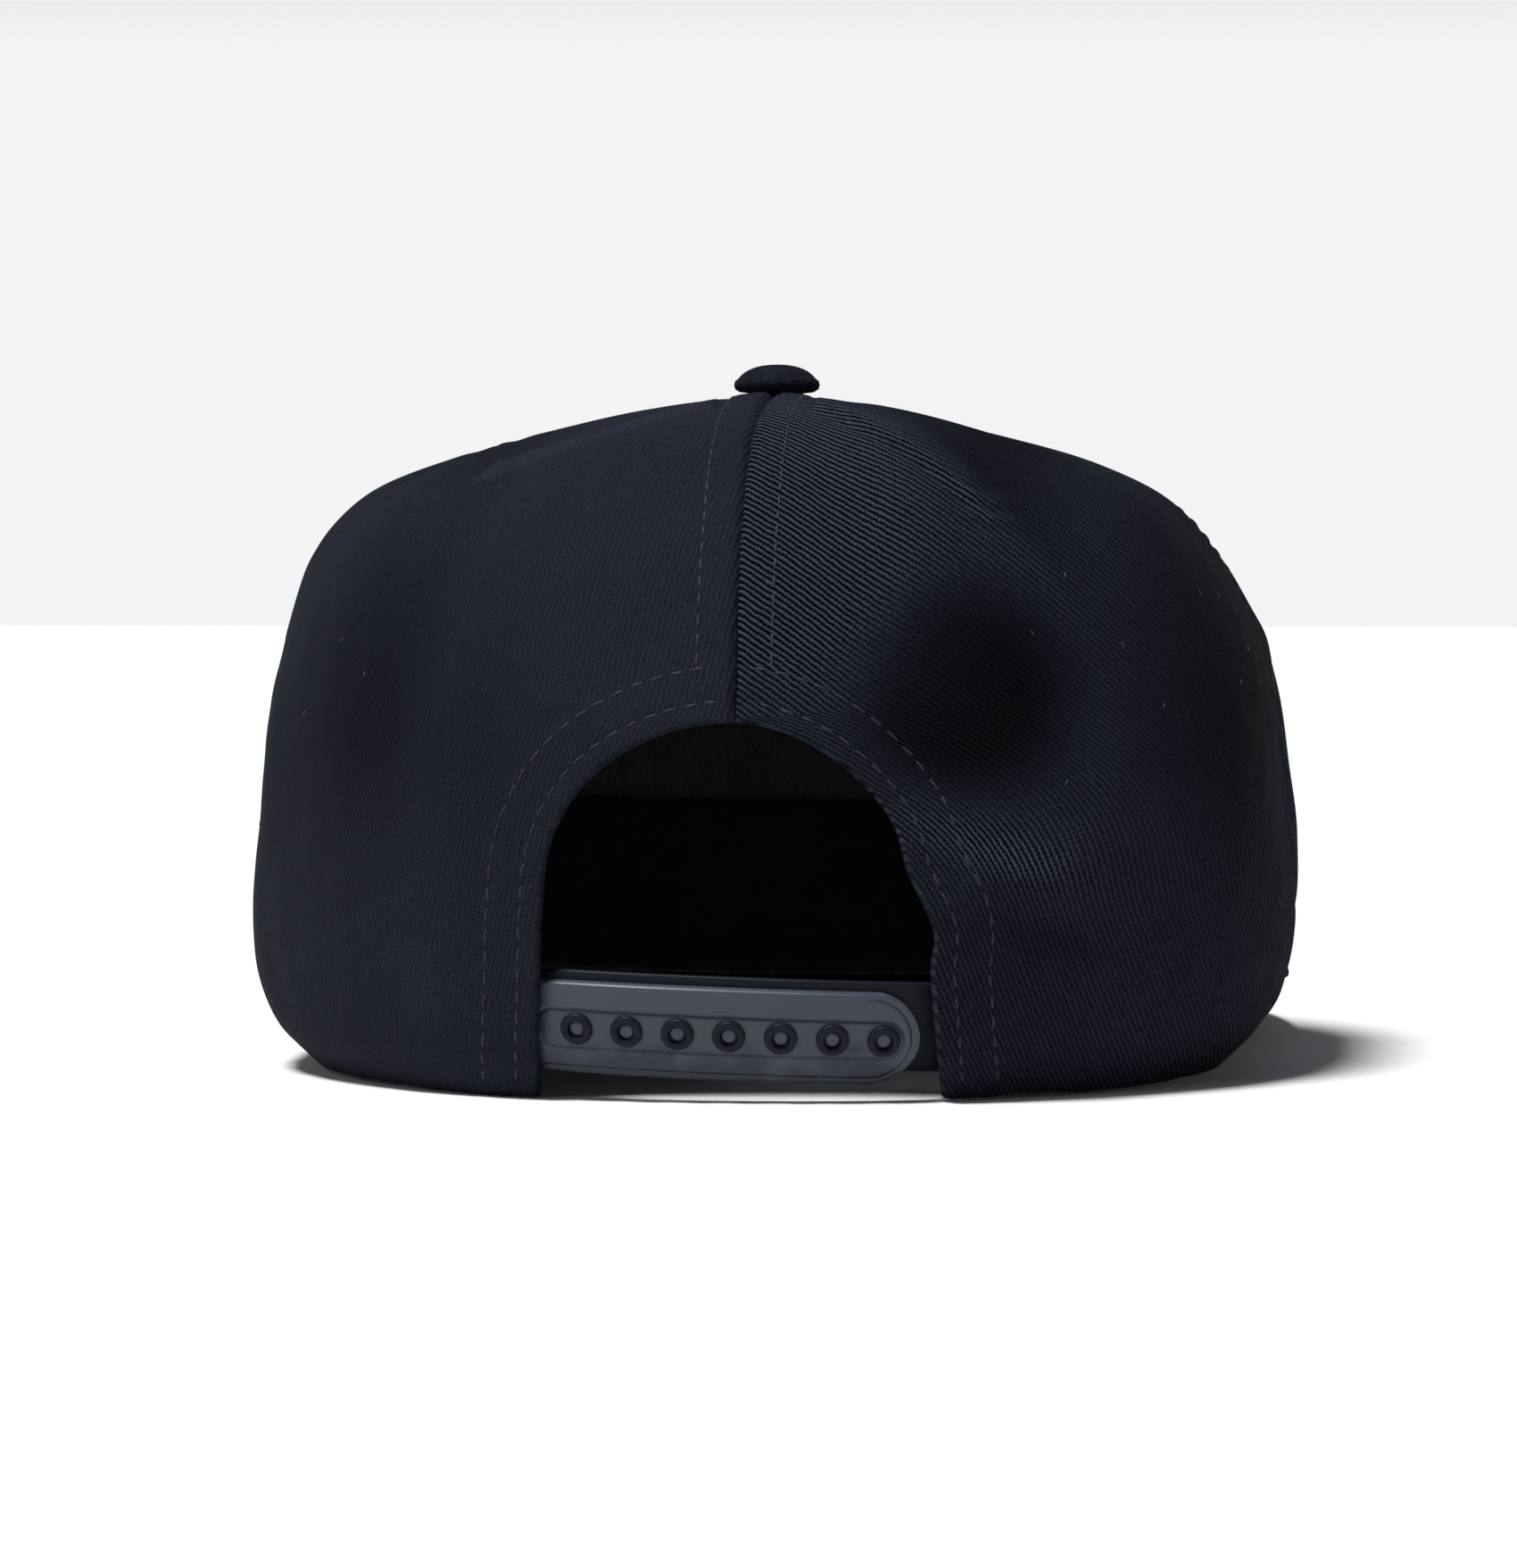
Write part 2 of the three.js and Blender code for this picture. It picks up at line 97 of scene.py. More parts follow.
STRAP_END = ARCH_FOOT_HALF_WIDTH + STRAP_OVERLAP

# Sizes of the dressed pieces alone, a little softer or further than the solids' ones
DART_RIDGE = 0.5
BRIM_SIDE_OVERHANG = 0.4
STRAP_SLOPE = 0.034
STRAP_BEVEL = 0.9
CHANNEL_LENGTH = 57.0
CHANNEL_HALF_WIDTH = 3.3
COLLAR_MIDDLE = 2.05
COLLAR_TUBE = 0.7
COLLAR_SINK = 0.15
PEG_STRAP_TIP = 38.0
PEG_STRAP_LIFT = 1.5
PEG_HEAD_RISE = 0.25

# Meridians from rim to button, as shares of the reach and of the height above the rim
MERIDIANS = {
    "rearOut": (0.93, 0.975, 1, 1, 0.985, 0.955, 0.905, 0.83, 0.715, 0.57, 0.4, 0.21, 0),
    "rearUp": (0, 0.07, 0.17, 0.29, 0.42, 0.54, 0.66, 0.77, 0.865, 0.93, 0.968, 0.99, 1),
    "sideOut": (0.87, 0.95, 0.985, 0.987, 0.97, 0.956, 0.93, 0.875, 0.777, 0.622, 0.433, 0.24, 0),
    "sideUp": (0, 0.06, 0.14, 0.25, 0.38, 0.51, 0.63, 0.745, 0.835, 0.893, 0.935, 0.972, 1),
    "frontOut": (0.975, 0.995, 1, 0.99, 0.97, 0.94, 0.9, 0.845, 0.75, 0.61, 0.44, 0.23, 0),
    "frontUp": (0, 0.07, 0.16, 0.28, 0.41, 0.54, 0.66, 0.775, 0.865, 0.93, 0.967, 0.988, 1),
}

# Soft dents and folds: azimuth, rise, spread in degrees, tall, lean, swell
FORMS = (
    (-29, 0.57, 13, 0.15, 0, -1),
    (-28, 0.3, 12, 0.045, -0.0045, 0.5),
    (-62, 0.42, 9, 0.3, 0, 0.25),
    (43, 0.67, 13, 0.13, 0, -0.6),
    (31, 0.45, 5, 0.22, 0, 0.35),
    (66, 0.36, 6, 0.26, 0, 0.3),
    (82, 0.34, 6, 0.3, 0, -0.4),
    (-95, 0.74, 26, 0.17, 0, -1.2),
    (150, 0.55, 16, 0.25, 0, -0.25),
    (-150, 0.55, 16, 0.25, 0, -0.25),
)

# Seams, hems, stitches, folds and darts, seen only at close range
SEAM_VALLEY = 0.75
SEAM_ALLOWANCE = 0.24
SEAM_RECESS = 6.0
RECESS_FRONT_WIDTH = 10.0
RECESS_REAR_WIDTH = 20.0
LEFT_TOPSTITCH = 6.5
RIGHT_TOPSTITCH = 5.8
SIDE_TOPSTITCH = 5.5
HEM_INNER_ROW = 3.0
HEM_OUTER_ROW = 8.7
HEM_STEP = 0.3
# Scale of the painted light and shade carried in the cloth coordinates' third value
PAINTED_LEVEL_SCALE = 10.0
BRIM_ROWS = tuple(6.0 + 6.4 * k for k in range(9))
STITCH_LENGTH = 2.6
STITCH_GAP = 0.9
STITCH_RADIUS = 0.24
STITCH_LIFT = 0.12
STITCH_WANDER = 0.12
ROW_GROOVE = 0.16
LINT_SEED = 9
FOLD_AZIMUTH = -28
FOLD_LEAN = 0.0045
DART_START = 9.0
DART_TOP = 117.5
DART_REACH = {1: 47.0, -1: 40.0}
DART_SLOPE = {1: -0.145, -1: 0.04}
DART_CURVE = {1: -0.0034, -1: -0.0115}

# Twill: the angle of its ridges in degrees, and where those of the right panel steepen
TWILL_PITCH = 0.9
TWILL_ANGLE = 102
RIGHT_ANGLE = 38
STEEP_ANGLE = 68
STEEP_HEIGHTS = (30, 58)
STEEP_PLACE = 42
STEEP_REACH = 24
BUTTON_DARKENING = 0.22

# The darkest and the lightest colour of each material
COLORS = {
    # The twills are one cloth; the right one's lighter colours are painted highlights on its ridges.
    "left_twill": ((0.0004, 0.0006, 0.0012), (0.02, 0.0225, 0.035)),
    "right_twill": ((0.0002, 0.0003, 0.0008), (0.044, 0.052, 0.082)),
    "inner_cloth": ((0.002, 0.002, 0.003), (0.012, 0.012, 0.014)),
    "front_inner_cloth": ((0.035, 0.032, 0.034), (0.12, 0.11, 0.115)),
    "band_cloth": ((0.006, 0.006, 0.008), (0.026, 0.026, 0.031)),
    "thread": ((0.003, 0.0036, 0.006), (0.02, 0.0235, 0.036)),
    "lint": ((0.06, 0.065, 0.07), (0.2, 0.21, 0.22)),
    "strap_plastic": ((0.006, 0.01, 0.02), (0.036, 0.045, 0.064)),
    # A darker copy of the strap's plastic, painted shade for the collars and the inner strap.
    "painted_shade_plastic": ((0.002, 0.003, 0.006), (0.006, 0.008, 0.013)),
}

# Camera, fitted to the cap's outline and its rim
CAMERA_AZIMUTH = 184.6
CAMERA_DISTANCE = 1000.0
CAMERA_HEIGHT = 90.0
CAMERA_SIDE = 3.4
PHOTO_HEIGHT_PX = 1757.0
FOCAL_PX = 6240.0
HORIZON_PX = 622.0

# Studio light: a soft high sun and a weak fill
WORLD_STRENGTH = 0.9
SUN_FROM = (0.36, 0.3, 1.2)
SUN_STRENGTH = 4.2
SUN_ANGLE = 14.0
FILL_FROM = (1.0, 1.3, 0.9)
FILL_TARGET = (0, 0.05, 0.06)
FILL_SIZE = 0.8
FILL_POWER = 2.5
FILL_COLOR = (0.95, 0.97, 1.0)
FLOOR_REACH = 6.0
FLOOR_COLOR = (0.86, 0.86, 0.86, 1)

low_button, high_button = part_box("button")
AXIS = (low_button + high_button) / 2
ORIGIN = np.array([AXIS.x, AXIS.y, 0.0])


# Small mathematics
def smoothstep(value, low, high):
    t = np.clip((np.asarray(value, float) - low) / (high - low), 0, 1)
    return t * t * (3 - 2 * t)


def signed(azimuth):
    return (np.asarray(azimuth, float) + 180) % 360 - 180


def bump(distance, width):
    return np.exp(-((distance / width) ** 2))


def unit(vectors):
    return vectors / np.maximum(np.linalg.norm(vectors, axis=-1, keepdims=True), 1e-12)


def waves(u, v, size, seed, count=7):
    """Smooth unevenness made of a few sine waves in seeded directions, about 1 high."""
    source = np.random.default_rng(seed)
    total = np.zeros(np.broadcast(u, v).shape)
    for _ in range(count):
        turn = source.uniform(0, math.tau)
        pitch = size * source.uniform(0.7, 1.6)
        phase = source.uniform(0, math.tau)
        along = np.cos(turn) * u + np.sin(turn) * v
        total = total + np.sin(math.tau * along / pitch + phase)
    return total / math.sqrt(count)


# The crown's surface
def column(name, share):
    table = np.array(MERIDIANS[name], float)
    last = len(table) - 1
    at = np.clip(share, 0, 1) * last
    row = np.minimum(np.floor(at).astype(int), last - 1)
    value = lambda i: table[np.clip(i, 0, last)]
    before = (value(row + 1) - value(row - 1)) / 2
    after = (value(row + 2) - value(row)) / 2
    t = at - row
    rest = 1 - t
    ends = value(row) * rest * rest * (1 + 2 * t) + value(row + 1) * t * t * (3 - 2 * t)
    return ends + before * t * rest * rest - after * t * t * rest


def blended(kind, azimuth, share):
    cosine = np.cos(np.radians(azimuth))
    side = column("side" + kind, share)
    end = np.where(cosine > 0, column("rear" + kind, share), column("front" + kind, share))
    return side + (end - side) * cosine * cosine


def plan_radius(azimuth):
    across = np.abs(np.sin(np.radians(azimuth))) / HALF_WIDTH
    along = np.cos(np.radians(azimuth))
    reach = np.where(along > 0, REAR_REACH, FRONT_REACH)
    corner = CORNER_SWELL * bump(np.abs(signed(azimuth)) - CORNER_AZIMUTH, CORNER_SPREAD)
    total = across**CROWN_ROUNDNESS + np.abs(along / reach) ** CROWN_ROUNDNESS
    return total ** (-1 / CROWN_ROUNDNESS) + corner


def radius_at(azimuth, share):
    return plan_radius(azimuth) * blended("Out", azimuth, share)


def plan_place(azimuth, radius):
    turn = np.radians(azimuth)
    return radius * np.sin(turn), radius * np.cos(turn)


def beyond_side_seam(azimuth, share):
    """Distance round the crown from the side seam, positive on the front panel."""
    return np.radians(np.abs(signed(azimuth)) - SIDE_SEAM_AZIMUTH) * radius_at(azimuth, share)


def brim_plane(y):
    return (y - FRONT_EDGE_Y) * math.tan(math.radians(BRIM_TILT))


def rim_height(azimuth):
    y = plan_place(azimuth, radius_at(azimuth, 0.0))[1]
    turn = np.abs(signed(azimuth))
    return brim_plane(y) * smoothstep(turn, RIM_RISE_AZIMUTH, CORNER_AZIMUTH)


def base_point(azimuth, share):
    rim = rim_height(azimuth)
    x, y = plan_place(azimuth, radius_at(azimuth, share))
    z = rim + (CROWN_HEIGHT - rim) * blended("Up", azimuth, share)
    return np.stack([x, y, z], -1)


def base_normal(azimuth, share):
    step = 0.01
    low = np.minimum(share - step, 1 - 2 * step)
    along = base_point(azimuth, low + 2 * step) - base_point(azimuth, low)
    around = base_point(azimuth + 1, low + step) - base_point(azimuth - 1, low + step)
    return unit(np.cross(along, around))


def relief(azimuth, share):
    """The dart ridges, seam dips, soft dents and folds that the solids have too."""
    turn = signed(azimuth)
    radius = radius_at(azimuth, share)
    rise = blended("Up", azimuth, share)
    upper = smoothstep(rise, 0.7, 0.87)
    apart = lambda line: np.radians(np.abs(turn) - line) * radius
    total = DART_RIDGE * upper * bump(apart(DART_AZIMUTH), DART_HALF_WIDTH)
    total = total - SEAM_DIP * upper * bump(apart(SIDE_SEAM_AZIMUTH), SEAM_HALF_WIDTH)
    for place, high, spread, tall, lean, swell in FORMS:
        off = signed(turn - place)
        total = total + DENT_DEPTH * swell * bump(off, spread) * bump(rise - high - lean * off, tall)
    clear_of_button = smoothstep(radius, SHANK_RADIUS, 2 * BUTTON_RADIUS)
    return total * smoothstep(rise, 0, 0.12) * clear_of_button


def crown_point(azimuth, share, depth=0.0):
    azimuth, share, depth = np.broadcast_arrays(azimuth, share, depth)
    off = relief(azimuth, share) - depth
    return base_point(azimuth, share) + base_normal(azimuth, share) * off[..., None]


def last_share(azimuth, test):
    low = np.zeros(np.shape(azimuth))
    high = np.ones(np.shape(azimuth))
    for _ in range(24):
        middle = (low + high) / 2
        keep = test(base_point(azimuth, middle))
        low = np.where(keep, middle, low)
        high = np.where(keep, high, middle)
    return low


def share_at_height(azimuth, height):
    return last_share(azimuth, lambda point: point[..., 2] < height)


def low_share(azimuth):
    return share_at_height(azimuth, rim_height(azimuth) + CLOTH / 2)


def top_share(azimuth, radius=SHANK_RADIUS + SHANK_CLEARANCE):
    return last_share(azimuth, lambda point: np.hypot(point[..., 0], point[..., 1]) > radius)


def locate_rear(x, z):
    """Azimuth and share of the rear surface's point that is seen at x and z from behind."""
    azimuth = np.degrees(np.arcsin(np.clip(x / REAR_REACH, -1, 1)))
    for _ in range(6):
        share = share_at_height(azimuth, z)
        radius = radius_at(azimuth, share)
        azimuth = np.degrees(np.arcsin(np.clip(x / radius, -1, 1)))
    return azimuth, share


# The arched opening, as a half outline from its foot to its apex.
# The left edge is a round arch; the right one leans in and is pushed about by the fold below the dent.
ARCHES = {
    1: {"foot": 34.0, "half": 32.2, "spring": 36.0, "rise": 27.0, "power": 2.0},
    -1: {"foot": 34.2, "half": 32.2, "spring": 30.0, "rise": 33.0, "power": 1.8},
}


def arch_kink(height, side):
    if side > 0:
        return 0.2 * bump(height - 30, 9)
    return -1.7 * bump(height - 38.5, 6) + 0.9 * bump(height - 27.5, 3.5)


def arch_half_outline(side, steps=160):
    arch = ARCHES[side]
    leg = np.linspace(0, 1, steps // 2, endpoint=False)
    leg_x = arch["foot"] + (arch["half"] - arch["foot"]) * leg
    leg_z = arch["spring"] * leg
    turn = np.linspace(0, math.pi / 2, steps // 2 + 1)
    power = 2 / arch["power"]
    arc_x = arch["half"] * np.maximum(np.cos(turn), 0) ** power
    arc_z = arch["spring"] + arch["rise"] * np.sin(turn) ** power
    x = np.concatenate([leg_x, arc_x])
    z = np.concatenate([leg_z, arc_z])
    return np.stack([(x + arch_kink(z, side)) * side, z], -1)


def arch_distance(points, side):
    """Distance from the opening's edge, for points of one rear panel seen from behind."""
    outline = arch_half_outline(side)
    flat = points[..., [0, 2]].reshape(-1, 2)
    best = np.full(len(flat), 1e9)
    for a, b in zip(outline[:-1], outline[1:]):
        way = b - a
        t = np.clip(((flat - a) @ way) / (way @ way), 0, 1)
        best = np.minimum(best, np.linalg.norm(flat - a - t[:, None] * way, axis=1))
    return best.reshape(points.shape[:-1])


# Fine relief of sewn cloth
def seam_form(distance, topstitch):
    valley = -SEAM_VALLEY * bump(distance, 0.6)
    folded = smoothstep(distance, 0.6, 1.6) * (1 - smoothstep(distance, topstitch - 0.4, topstitch + 0.9))
    padding = SEAM_ALLOWANCE * folded
    groove = -ROW_GROOVE * bump(distance - topstitch, 0.45)
    return valley + padding + groove


def by_side(x, values):
    return np.where(x > 0, values[1], values[-1])


def dart_height(x):
    """Height of the darts' sewn lines, seen from behind, at a distance x from the middle."""
    return DART_TOP + by_side(x, DART_SLOPE) * x + by_side(x, DART_CURVE) * x * x


def dart_distance(x, z):
    """Distance from a dart's line, which grows quickly beyond the dart's end."""
    past = np.maximum(np.abs(x) - by_side(x, DART_REACH), 0)
    early = np.maximum(DART_START - np.abs(x), 0)
    return np.hypot((z - dart_height(x)) * 0.93, past + early)


def dart_form(azimuth, share, side):
    """A pinched line from the button with a crease beside it, ending in small puckers."""
    point = base_point(azimuth, share)
    x, z = point[..., 0], point[..., 2]
    line = dart_distance(x, z)
    pinch = 0.65 * bump(line, 0.9) - 0.35 * bump(line - 1.8, 0.8)
    sewn = np.abs(x) < DART_REACH[side]
    end_x = side * DART_REACH[side]
    off, below = x - end_x, dart_height(end_x) - z
    fan = bump(np.hypot(off, below), 6)
    puckers = 0.34 * fan * np.sin(below * 1.9 + off * 0.35) + 0.3 * fan * np.sin(off * 1.1 + below * 0.5)
    return pinch * sewn + puckers


def seam_recess(azimuth, share):
    """Low on the sides the crown is drawn in along its side seams."""
    rise = blended("Up", azimuth, share)
    off = beyond_side_seam(azimuth, share)
    profile = np.where(off > 0, 1 - smoothstep(off, 0.5, RECESS_FRONT_WIDTH), bump(off, RECESS_REAR_WIDTH))
    return -SEAM_RECESS * smoothstep(rise, 0.02, 0.14) * (1 - smoothstep(rise, 0.38, 0.62)) * profile


def soft_form(azimuth, share):
    """The crown's softer set, which both faces follow: drawn-in seams, a hollow and its fold."""
    turn = signed(azimuth)
    rise = blended("Up", azimuth, share)
    line = rise - 0.31 - FOLD_LEAN * (turn - FOLD_AZIMUTH)
    fold = 1.3 * bump(turn + 29, 9) * bump(line, 0.03)
    crease = -0.9 * bump(turn + 33, 8) * bump(line + 0.05, 0.025)
    hollow = -2.6 * bump(turn + 28, 9) * bump(rise - 0.6, 0.13)
    return fold + crease + hollow + seam_recess(azimuth, share)


def formed_point(azimuth, share, depth=0.0, fine=0.0):
    """A point of the sewn crown: the plain crown moved by its soft form and by fine relief."""
    off = soft_form(azimuth, share) + fine
    return crown_point(azimuth, share, depth) + base_normal(azimuth, share) * off[..., None]


def rear_detail(azimuth, share, side):
    points = base_point(azimuth, share)
    centre = np.radians(np.abs(signed(azimuth))) * radius_at(azimuth, share)
    flank = -beyond_side_seam(azimuth, share)
    topstitch = LEFT_TOPSTITCH if side > 0 else RIGHT_TOPSTITCH
    total = seam_form(centre, topstitch) + seam_form(flank, SIDE_TOPSTITCH)
    total = total + dart_form(azimuth, share, side)
    edge = arch_distance(points, side)
    hem = HEM_STEP * (1 - smoothstep(edge, HEM_OUTER_ROW + 0.1, HEM_OUTER_ROW + 1.2))
    rows = bump(edge - HEM_INNER_ROW, 0.45) + bump(edge - HEM_OUTER_ROW, 0.45)
    total = total + hem - ROW_GROOVE * rows
    u = np.radians(signed(azimuth)) * REAR_REACH
    v = points[..., 2]
    near_rows = bump(edge - HEM_INNER_ROW, 2.2) + bump(edge - HEM_OUTER_ROW, 2.2)
    total = total + 0.07 * near_rows * waves(u, v, 3.6, 11)
    total = total + 0.28 * waves(u, v, 34, 3 + side) + 0.09 * waves(u, v, 11, 7 + side)
    return total


def front_detail(azimuth, share):
    flank = beyond_side_seam(azimuth, share)
    u = np.radians(azimuth) * REAR_REACH
    v = base_point(azimuth, share)[..., 2]
    uneven = 0.16 * waves(u, v, 40, 21) + 0.04 * waves(u, v, 12, 22)
    return seam_form(flank, SIDE_TOPSTITCH) + uneven


# Mesh making
def to_metres(points):
    return np.asarray(points, float) * MM + ORIGIN


def new_object(name, data):
    made = bpy.data.objects.new(name, data)
    bpy.context.scene.collection.objects.link(made)
    return made


def make_mesh(name, points, faces, cloth, marks=None):
    """A mesh object from points in millimetres; faces is a list of quad or triangle arrays."""
    mesh = bpy.data.meshes.new(name)
    points = to_metres(points)
    sizes = [f.shape[1] for f in faces for _ in range(len(f))]
    corners = np.concatenate([f.reshape(-1) for f in faces]).astype(np.int32)
    starts = np.concatenate([[0], np.cumsum(sizes)[:-1]]).astype(np.int32)
    mesh.vertices.add(len(points))
    mesh.vertices.foreach_set("co", points.reshape(-1).astype(np.float32))
    mesh.loops.add(len(corners))
    mesh.loops.foreach_set("vertex_index", corners)
    mesh.polygons.add(len(sizes))
    mesh.polygons.foreach_set("loop_start", starts)
    mesh.polygons.foreach_set("loop_total", np.array(sizes, np.int32))
    if marks is not None:
        mesh.polygons.foreach_set("material_index", np.asarray(marks, np.int32))
    mesh.update(calc_edges=True)
    mesh.validate()
    mesh.shade_smooth()
    layer = mesh.attributes.new("cloth", "FLOAT_VECTOR", "POINT")
    layer.data.foreach_set("vector", np.asarray(cloth, np.float32).reshape(-1))
    return new_object(name, mesh)


def perimeter(columns, rows):
    """Indices of a grid's border points in order, with the side that each lies on."""
    low = [(i, 0, "low") for i in range(columns - 1)]
    last = [(columns - 1, j, "last") for j in range(rows - 1)]
    high = [(i, rows - 1, "high") for i in range(columns - 1, 0, -1)]
    first = [(0, j, "first") for j in range(rows - 1, 0, -1)]
    return low + last + high + first


def shell(name, outer, inner, cloth, rounds, steps=4):
    """A closed wall between two grids of points whose borders are rounded outwards by rounds[side]."""
    columns, rows = outer.shape[:2]
    index = np.arange(columns * rows).reshape(columns, rows)
    quads = np.stack([index[:-1, :-1], index[:-1, 1:], index[1:, 1:], index[1:, :-1]], -1).reshape(-1, 4)
    border = perimeter(columns, rows)
    i, j, edges = (np.array(part) for part in zip(*border))
    grow = np.array([rounds[edge] for edge in edges])
    i_in, j_in = np.clip(i, 1, columns - 2), np.clip(j, 1, rows - 2)
    away = unit(outer[i, j] - outer[i_in, j_in])
    middle = (outer[i, j] + inner[i, j]) / 2
    half = (outer[i, j] - inner[i, j]) / 2
    loops = []
    for k in range(1, steps):
        turn = math.pi * k / steps
        loops.append(middle + half * math.cos(turn) + away * (grow * math.sin(turn))[:, None])
    count = len(border)
    points = np.concatenate([outer.reshape(-1, 3), inner.reshape(-1, 3), *loops])
    between = [2 * columns * rows + k * count + np.arange(count) for k in range(steps - 1)]
    rings = [index[i, j], *between, index[i, j] + columns * rows]
    bands = []
    for a, b in zip(rings[:-1], rings[1:]):
        bands.append(np.stack([a, np.roll(a, -1), np.roll(b, -1), b], -1))
    faces = [quads, quads[:, ::-1] + columns * rows, *bands]
    marks = np.repeat([0, 1, 0], [len(quads), len(quads), sum(len(b) for b in bands)])
    flat = cloth.reshape(-1, 3)
    full_cloth = np.concatenate([flat, flat] + [cloth[i, j]] * (steps - 1))
    return make_mesh(name, points, faces, full_cloth, marks)


def lengths_along(line):
    """Distance of each point of a polyline from its start; only x, y and z count."""
    steps = np.linalg.norm(np.diff(line[:, :3], axis=0), axis=1)
    return np.concatenate([[0], np.cumsum(steps)])


def resample(line, places):
    """Points of a polyline at the given distances from its start."""
    length = lengths_along(line)
    return np.stack([np.interp(places, length, line[:, k]) for k in range(line.shape[1])], -1)


def spread_evenly(line, count):
    return resample(line, np.linspace(0, lengths_along(line)[-1], count))


def ring_quads(count, sides):
    """Quads between neighbouring rings that have the same number of points."""
    around = np.arange(sides)
    first = np.arange(count - 1)[:, None] * sides
    a = first + around
    b = first + (around + 1) % sides
    return np.stack([a, b, b + sides, a + sides], -1).reshape(-1, 4)


# Stitches
def stitch_row(path, normals, length=STITCH_LENGTH, gap=STITCH_GAP, radius=STITCH_RADIUS, lift=STITCH_LIFT,
               seed=1):
    """Points and faces of a row of thread stitches that dip into the cloth at both ends."""
    source = np.random.default_rng(seed)
    total = lengths_along(path)[-1]
    line = np.concatenate([path, normals], 1)
    sides, rings = 6, 6
    shares = np.linspace(0, 1, rings)
    turns = np.linspace(0, math.tau, sides, endpoint=False)[None, :, None]
    low_cap = np.array([[3, 2, 1, 0], [0, 5, 4, 3]])
    high_cap = np.array([[0, 1, 2, 3], [3, 4, 5, 0]]) + sides * (rings - 1)
    stitch = np.concatenate([ring_quads(rings, sides), low_cap, high_cap])
    arch = np.sin(np.pi * shares) ** 0.6
    thick = (radius * (0.7 + 0.3 * arch))[:, None, None]
    points, quads = [], []
    for k in range(int(total / (length + gap))):
        start = k * (length + gap) + source.uniform(-STITCH_WANDER, STITCH_WANDER)
        spots = resample(line, np.clip(start + shares * length, 0, total))
        centre, up = spots[:, :3], unit(spots[:, 3:])
        side = unit(np.cross(unit(np.gradient(centre, axis=0)), up))
        sway = source.uniform(-STITCH_WANDER, STITCH_WANDER)
        centre = centre + side * (sway * (shares - 0.5) * 2)[:, None]
        centre = centre + up * (lift * (2 * arch - 1) - 0.05)[:, None]
        ring = side[:, None] * np.cos(turns) + up[:, None] * np.sin(turns) * 0.8
        ring = centre[:, None] + ring * thick
        quads.append(stitch + len(points) * sides * rings)
        points.append(ring.reshape(-1, 3))
    return np.concatenate(points), np.concatenate(quads)


def join_rows(name, rows):
    """One mesh object from several rows of stitches."""
    points = np.concatenate([row_points for row_points, _ in rows])
    starts = np.cumsum([0] + [len(row_points) for row_points, _ in rows])
    faces = [row_faces + start for (_, row_faces), start in zip(rows, starts)]
    return make_mesh(name, points, faces, points)


def surface_row(azimuth, share, detail):
    """Path and normals of a row that follows the finished cloth."""
    return formed_point(azimuth, share, 0.0, detail), base_normal(azimuth, share)


# Shader helpers
def new_material(name):
    material = bpy.data.materials.new(name)
    material.use_nodes = True
    return material, material.node_tree, material.node_tree.nodes["Principled BSDF"]


def fill(tree, node, values):
    """Gives inputs of a node a plain value each, or a link from another node's output."""
    for socket, value in values.items():
        if isinstance(value, bpy.types.NodeSocket):
            tree.links.new(value, node.inputs[socket])
        else:
            node.inputs[socket].default_value = value


def math_node(tree, operation, *values):
    node = tree.nodes.new("ShaderNodeMath")
    node.operation = operation
    fill(tree, node, dict(enumerate(values)))
    return node.outputs[0]


def sine(tree, a):
    return math_node(tree, "SINE", a)


def times(tree, a, b):
    return math_node(tree, "MULTIPLY", a, b)


def times_plus(tree, a, b, c):
    return math_node(tree, "MULTIPLY_ADD", a, b, c)


def noise_node(tree, vector, scale, detail=3.0, roughness=0.55):
    node = tree.nodes.new("ShaderNodeTexNoise")
    fill(tree, node, {"Scale": scale, "Detail": detail, "Roughness": roughness, "Vector": vector})
    return node.outputs["Fac"]


def ramp_node(tree, value, low, high, colors):
    node = tree.nodes.new("ShaderNodeValToRGB")
    for element, position, color in zip(node.color_ramp.elements, (low, high), colors):
        element.position = position
        element.color = (*color, 1)
    tree.links.new(value, node.inputs["Fac"])
    return node.outputs["Color"]


def bump_node(tree, height, distance, strength):
    node = tree.nodes.new("ShaderNodeBump")
    fill(tree, node, {"Height": height, "Distance": distance, "Strength": strength})
    return node


def cloth_axes(tree):
    """The cloth coordinate of a piece as a vector, then along and across the ridges, and its level of
    painted light and shade.
    """
    source = tree.nodes.new("ShaderNodeAttribute")
    source.attribute_name = "cloth"
    split = tree.nodes.new("ShaderNodeSeparateXYZ")
    tree.links.new(source.outputs["Vector"], split.inputs[0])
    return source.outputs["Vector"], *split.outputs


